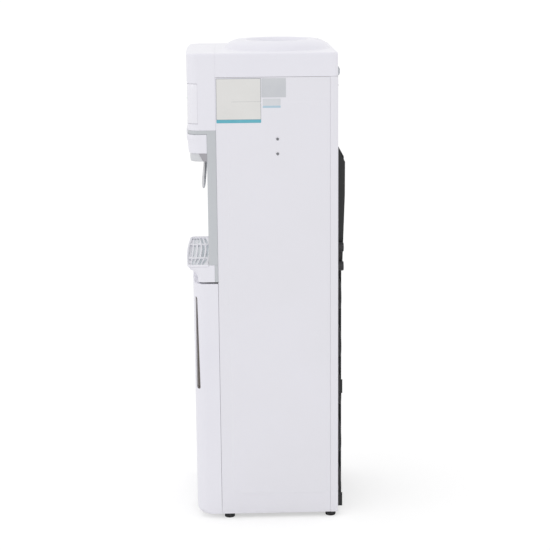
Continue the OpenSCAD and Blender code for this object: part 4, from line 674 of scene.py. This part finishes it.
# Door. A white moulding with a wide bowed front and a rounded foot, hung at the left. A slit in its
# right corner, lined in grey brown, is narrow at its top and round at its foot: fingers pull it open.
y_door, y_door_back, door_r, z_door, z_door_top, foot_r = -152.5, -98.4, 25, 12.8, 512.5, 12
slit_low, slit_high, slit_r, y_slit, slit_lean = 286.5, 484.5, 4, -144.3, 1.4
z_round, z_narrow = slit_low + slit_r, slit_high - slit_r
slit_z = ticks(slit_low, 286.75, 1, 287.5, 1, 288.8, 1, z_round, 1, z_narrow, 14, 482.6, 1, 483.9, 1,
               slit_high, 1)
half_slit = np.sqrt(np.clip(slit_r ** 2 - np.clip(z_round - slit_z, 0, slit_r) ** 2, 0, None))
slit_fore, slit_aft = y_slit - half_slit, y_slit + half_slit
slit_aft = np.where(slit_z > z_round, y_slit + slit_r - 4.6 * (slit_z - z_round) / 190, slit_aft)
narrow = np.clip((slit_z - z_narrow) / slit_r, 0, 1)
slit_aft -= (slit_aft - slit_fore) * (1 - np.sqrt(1 - narrow ** 2))
set_back = slit_lean * (1 + (slit_z - slit_low) / 198)
slit_fore, slit_aft = slit_fore + set_back, slit_aft + set_back


def door_row(height, setback=0.0, inset=0.0):
    """The door's plan at a height. The two marks follow the slit's edges, and beyond its ends they part."""
    fore = np.interp(height, [280, *slit_z, 492], [-145.6, *slit_fore, -145.8])
    aft = np.interp(height, [280, *slit_z, 492], [-139.6, *slit_aft, -143.2])
    marks = (min(fore, aft - 0.02) + setback, aft + setback)
    return level(front_line(y_door + setback, door_r, y_door_back, inset, marks, trim=True), height)


rows = [door_row(z_door, foot_r, 1.2), door_row(z_door + 0.25, 9.9, 0.5)]
rows += [door_row(z_door + foot_r * (1 - np.cos(a)), foot_r * (1 - np.sin(a)), max(0, 0.4 - 3 * a))
         for a in np.radians([12, 20, 30, 42, 54, 66, 78, 90])]
rows += [door_row(z) for z in ticks(z_door + foot_r, slit_low, 22)[1:-1]] + [door_row(z) for z in slit_z]
rows += [door_row(z) for z in ticks(slit_high, z_door_top - 2, 4)[1:]]
rows += [door_row(z_door_top - 2 + 2 * np.sin(a), 0, 2 * (1 - np.cos(a))) for a in np.radians([30, 60, 90])]
rows += [drawn_back(rows[-1], y_door_back, t) for t in (0.5, 1)]
rows = np.array([drawn_back(rows[0], y_door_back)] + rows)
rows[..., 2] -= 2.6 * smooth((rows[..., 0] + 120) / 20) * np.clip(1 - (rows[..., 2] - z_door) / 30, 0, 1)
mid_z = (rows[1:, 0, 2] + rows[:-1, 0, 2]) / 2
keep = np.ones((rows.shape[0] - 1, rows.shape[1] - 1), bool)
keep[(mid_z > slit_low) & (mid_z < slit_high), -14:-12] = False
boss = turned([(2.6, 0), (6, 0), (6, 18), (2.6, 18)], (-148, -109, 0), ends=False)
bosses = copies(boss, [(0, 0, z_door + 0.3), (0, 0, z_door_top - 18.3)])
piece("door_skin", [walled(rows, lid_wall, keep)] + bosses, white_abs, ["door_shell"], "door")
brown = made_of("grip_brown", (134, 128, 123), (122, 116, 111), (0.45, 0.6), 800, spread=9)
lining = []
for k, z in enumerate(slit_z):
    row = door_row(z)
    fore, aft = row[-15], row[-13]
    fore = fore + [-0.15, min(0.15, (aft[1] - fore[1]) / 2), 0]
    aft = aft + [-0.15, -min(0.15, (aft[1] - fore[1]) / 2), 0]
    deep = min(139.2, fore[0] - 0.4)
    bed = [[deep, fore[1] + (aft[1] - fore[1]) * t, z] for t in (0.04, 0.2, 0.5, 0.8, 0.96)]
    shelf = [[deep + 0.4, fore[1], z], *bed, [deep + 0.8, aft[1], z]]
    lining.append([fore, *shelf, aft])
piece("grip_lining", [walled([line[::-1] for line in lining], 0.8)], brown, ["door_grip"],
      "door")

# Feet. Four feet of black rubber, rounded below. Each has a neck and a barbed stud on it, which is
# pushed up through a hole of the base pan.
rubber = made_of("foot_rubber", (38, 38, 40), (27, 27, 29), (0.6, 0.8), 260, 3e-5)
foot_profile = softened([(0, 0), (10.3, 0), (11, 1.4), (10.8, 8.2), (10.2, 9.9), (5.8, 9.9), (5.8, 11.9),
                         (4, 11.9), (4, 13.8), (5, 13.8), (4, 17.4), (0, 17.5)], 0.7, 3)
foot_form = turned(foot_profile, (0, 0, 0), sides=48)
feet_at = [(x, y, 0) for x in (-142.5, 142.5) for y in (-82, 133.5)]
piece("rubber_feet", copies(foot_form, feet_at), rubber, ["feet"])

# Condenser. One black steel tube that winds up behind the cabinet between two faces of thin wires.
# Its upper half stands further off the plate, where the air has to pass the tanks.
black = made_of("black_paint", (34, 34, 36), (25, 25, 27), (0.4, 0.55), 420, spread=9)
cond_low, cond_high, cond_x, step_low, step_high, passes = 24.0, 760.0, 96.0, 540.0, 690.0, 14
cond_pitch = (cond_high - cond_low) / passes
tube_r, wire_r, wire_off, wire_x, wires_across = 2.4, 0.75, 3.4, 92, 25


def tube_y(z):
    """The middle of the tube in y. Its rear stands 11 mm off the plate low down and 16 mm high up."""
    return y_back + np.interp(z, [step_low, step_high], [11, 16]) - 4.15


def swept(path, radius, sides):
    """A round section carried along a path: at each point it stands square to the way from the point
    before to the point after, and its side direction is turned as little as possible."""
    path = np.asarray(path, float)
    way = np.gradient(path, axis=0)
    way /= np.linalg.norm(way, axis=1, keepdims=True)
    side = np.cross(way[0], [0.31, 0.2, 0.93] if abs(way[0, 2]) < 0.9 else [1, 0, 0])
    a = np.linspace(0, 2 * np.pi, sides, endpoint=False)
    rings = []
    for p, w in zip(path, way):
        side = side - side.dot(w) * w
        side /= np.linalg.norm(side)
        rings.append(p + radius * (np.cos(a)[:, None] * side + np.sin(a)[:, None] * np.cross(w, side)))
    return closed(rings)


bends = [[-cond_x, cond_low]]
for k in range(passes):
    a = np.radians(np.linspace(-90, 90, 13))
    side = 1 if k % 2 == 0 else -1
    height = cond_low + cond_pitch * k + cond_pitch / 2 * (1 + np.sin(a))
    bends += np.column_stack([side * (cond_x + cond_pitch / 2 * np.cos(a)), height]).tolist()
bends = np.array(bends + [[cond_x, cond_high]])
line = np.column_stack([bends[:, 0], tube_y(bends[:, 1]), bends[:, 1]])
piece("condenser_coil", [swept(line, tube_r, 12)], black, ["condenser_tube"])
wires = []
wire_z = ticks(10, 536, 3, 544, 2, 686, 2, 694, 2, 765, 1)
for k in range(wires_across):
    for face in (-1, 1):
        x = -wire_x + 2 * wire_x * k / (wires_across - 1) + (1.2 if face > 0 else 0)
        line = np.column_stack([np.full(len(wire_z), x), tube_y(wire_z) + face * wire_off, wire_z])
        wires.append(swept(line, wire_r, 8))
piece("condenser_mesh", wires, black, ["condenser_wires"])


homes = {node: body for body, nodes in frame["record"]["behaviour"]["bodies"].items() for node in nodes}


def smoothed(name, finish, bevel, crease=35):
    """A copy of a solid of the frame with its points merged and its round faces shaded smooth. Bevel is
    the width in millimetres of the soft edges that it gets."""
    work = bmesh.new()
    work.from_mesh(frame["nodes"][name].data)
    bmesh.ops.remove_doubles(work, verts=work.verts, dist=1e-6)
    bmesh.ops.dissolve_limit(work, angle_limit=np.radians(0.5), verts=work.verts, edges=work.edges)
    mesh = bpy.data.meshes.new(name + "_form")
    work.to_mesh(mesh)
    work.free()
    for layer in [a for a in mesh.attributes if a.name in ("custom_normal", "sharp_edge", "sharp_face")]:
        mesh.attributes.remove(layer)
    mesh.shade_smooth()
    mesh.set_sharp_from_angle(angle=np.radians(crease))
    mesh.materials.clear()
    mesh.materials.append(finish)
    thing = bpy.data.objects.new(name + "_form", mesh)
    scene.collection.objects.link(thing)
    if bevel:
        soft = thing.modifiers.new("soft_edges", "BEVEL")
        soft.width, soft.segments, soft.limit_method, soft.harden_normals = bevel / 1000, 3, "ANGLE", True
        soft.angle_limit = np.radians(crease)
        soft.miter_outer = "MITER_ARC"
    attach(thing, homes[name])
    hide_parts(name)


smoothed("condenser_brackets", black, 0.3)

# Base, shelf and bracket. Folded sheet steel, plated with zinc: the pan carries the compressor, the
# shelf carries the hot tank over the storage space, and the bracket holds the cold tank up.
zinc = made_of("zinc_sheet", (186, 188, 190), (168, 170, 173), (0.3, 0.42), 60, spread=38,
               metal=0.9)
for name in ("base_pan", "mid_shelf", "tank_bracket"):
    smoothed(name, zinc, 0.4)
steel = made_of("plain_steel", (176, 177, 180), (158, 159, 162), (0.24, 0.36), 140, spread=20,
                metal=1.0)
smoothed("door_hinges", zinc, 0.4, 50)
for name in ("cold_tank", "hot_tank"):
    smoothed(name, steel, 0, 50)

# Storage space. A white formed liner inside the cabinet, an inner pan on the door and, between them,
# a soft grey gasket with a magnet in it that holds the door shut.
liner_white = made_of("liner_white", (232, 233, 236), (228, 229, 233), (0.4, 0.5), 350)
smoothed("storage_liner", liner_white, 2.0)
smoothed("door_liner", liner_white, 1.0)
gasket = made_of("gasket_grey", (120, 121, 124), (108, 109, 112), (0.6, 0.75), 300, 2e-5)
smoothed("door_gasket", gasket, 0.8)

# Cooling circuit. A black welded compressor on rubber mounts, its relay box, the filter and the copper
# lines, and the copper evaporator wound round the cold tank.
copper = made_of("copper", (200, 130, 96), (172, 104, 74), (0.25, 0.4), 120, spread=30, metal=1.0)
dark = made_of("dark_plastic", (52, 52, 54), (42, 42, 44), (0.45, 0.6), 500)
smoothed("compressor", black, 0.6, 42)
smoothed("compressor_mounts", rubber, 0, 50)
smoothed("relay_box", dark, 1.2)
for name in ("filter_drier", "refrigerant_pipes", "evaporator_coil", "heater_band"):
    smoothed(name, copper, 0, 50)

# Water side. The cold tank lies in two shells of foam and the hot one in a fibre jacket. Hoses of clear
# silicone are pushed on their pipes and lead to the taps and to the drains.
foam = made_of("foam", (236, 228, 206), (222, 212, 188), (0.85, 0.95), 160, 3e-4, spread=14)
jacket = made_of("jacket", (206, 196, 160), (184, 172, 134), (0.85, 0.95), 90, 4e-4, spread=18)
silicone = made_of("silicone", (222, 226, 228), (210, 215, 218), (0.3, 0.42), 200,
                   Transmission_Weight=0.25)
smoothed("tank_foam", foam, 1.5)
smoothed("hot_jacket", jacket, 1.5)
for name in ("water_hoses", "hot_hose", "drain_pipes"):
    smoothed(name, silicone, 0, 50)

# Tap bodies. White mouldings behind the housing, each with a nozzle, a nut behind the frame and a
# valve stem that its lever presses down. The lamps stand on a small green circuit board.
for name in ("cold", "room", "hot"):
    smoothed("tap_body_" + name, white_abs, 0.3)
    smoothed("tap_valve_" + name, silicone, 0.3)
board = made_of("board_green", (46, 120, 84), (38, 104, 72), (0.3, 0.4), 240, spread=60)
smoothed("light_board", board, 0.2)

# Rear fittings. Two rocker switches in a dark bezel, two ribbed drain caps, the gland of the mains lead,
# and the two grey clips that hold the top cover down.
red = made_of("rocker_red", (178, 44, 40), (164, 36, 34), (0.3, 0.4), 500, 5e-6)
green = made_of("rocker_green", (44, 140, 84), (36, 126, 74), (0.3, 0.4), 500, 5e-6)
smoothed("switch_bezel", dark, 0.5)
smoothed("switch_hot", red, 0.6)
smoothed("switch_cold", green, 0.6)
smoothed("cord_gland", dark, 0.6)
smoothed("lid_clips", silver, 0.6)
for name in ("hot", "cold"):
    smoothed("drain_cap_" + name, dark, 0.4)

# Screws. Low domed steel heads with a cross recess: two in shallow dimples of each side panel and
# eight that hold the back plate.


def screw(at, out, radius=2.9, height=0.95):
    """A head whose height follows an ellipse of the distance from its middle. Two crossed slots are cut
    by a smooth step of the distance inside them, and a shank goes back through the sheet."""
    a = np.linspace(0, 2 * np.pi, 48, endpoint=False)
    rings = []
    for r in np.concatenate([np.linspace(0.1, 2.1, 14), np.linspace(2.3, radius, 6)]):
        u, v = np.abs(r * np.cos(a)), np.abs(r * np.sin(a))
        inside = np.maximum(np.minimum(1.7 - u, 0.42 - v), np.minimum(1.7 - v, 0.42 - u))
        lift = height * np.sqrt(1 - (r / radius) ** 2 * 0.96) - 0.55 * smooth(inside / 0.22)
        rings.append(np.stack([r * np.cos(a), r * np.sin(a), lift], -1))
    for r, h in ((radius, 0.0), (1.9, 0.0), (1.9, -6.0)):
        rings.append(np.stack([r * np.cos(a), r * np.sin(a), np.full(48, h)], -1))
    points, quads = closed(rings)
    u, v, h = points.T
    if out == "y":
        return np.stack([u, h, v], -1) + at, quads
    return np.stack([h * out, u, v], -1) + at, quads


screws = [screw((s * (half_w - 1.25), y, z), s) for y, z in side_screws for s in (1, -1)]
screws += [screw((x, y_back, z), "y", 3.0, 1.4) for x in (-140, 140) for z in (60, 330, 640, 916)]
screw_steel = made_of("screw_steel", (150, 151, 154), (132, 133, 137), (0.3, 0.42), 300, 5e-6,
                      spread=90, metal=0.9)
piece("panel_fixings", screws, screw_steel, ["panel_screws"])

# Floor and light. A pale floor that glows a little of itself, which leaves its shadow faint, a white
# surround, and soft lamps above and at the front.
floor_form = bpy.data.meshes.new("floor")
floor_form.from_pydata([(-30, -30, 0), (30, -30, 0), (30, 30, 0), (-30, 30, 0)], [], [(0, 1, 2, 3)])
floor = bpy.data.objects.new("floor", floor_form)
scene.collection.objects.link(floor)
floor_paint = bpy.data.materials.new("floor_paint")
floor_paint.use_nodes = True
tree = floor_paint.node_tree
shader = filled(tree.nodes["Principled BSDF"], Roughness=0.9, Specular_IOR_Level=0.1,
                Emission_Color=linear(255, 255, 255))
seen = tree.nodes.new("ShaderNodeLightPath").outputs["Is Camera Ray"]
tint = tree.nodes.new("ShaderNodeMix")
tint.data_type = "RGBA"
filled(tint, A=linear(240, 240, 240), B=linear(190, 190, 190))
own = tree.nodes.new("ShaderNodeMath")
own.operation = "MULTIPLY"
own.inputs[1].default_value = 0.52
for one, other in ((seen, tint.inputs["Factor"]), (seen, own.inputs[0]),
                   (tint.outputs["Result"], shader.inputs["Base Color"]),
                   (own.outputs["Value"], shader.inputs["Emission Strength"])):
    tree.links.new(one, other)
floor_form.materials.append(floor_paint)
world = bpy.data.worlds.new("surround")
scene.world = world
world.use_nodes = True
filled(world.node_tree.nodes["Background"], Strength=1.0, Color=(1, 1, 1, 1))
for name, at, aim, size, power in (("top_lamp", (0.5, -0.4, 3.4), (0, 0, 0.6), 2.2, 1.5),
                                   ("front_lamp", (1.6, -3.0, 1.9), (0, 0, 0.5), 1.8, 7)):
    lamp = bpy.data.lights.new(name, "AREA")
    lamp.size, lamp.energy = size, power
    way = np.subtract(aim, at)
    aimed(name, lamp, at, way, np.cross(way, [0, 0, 1]))
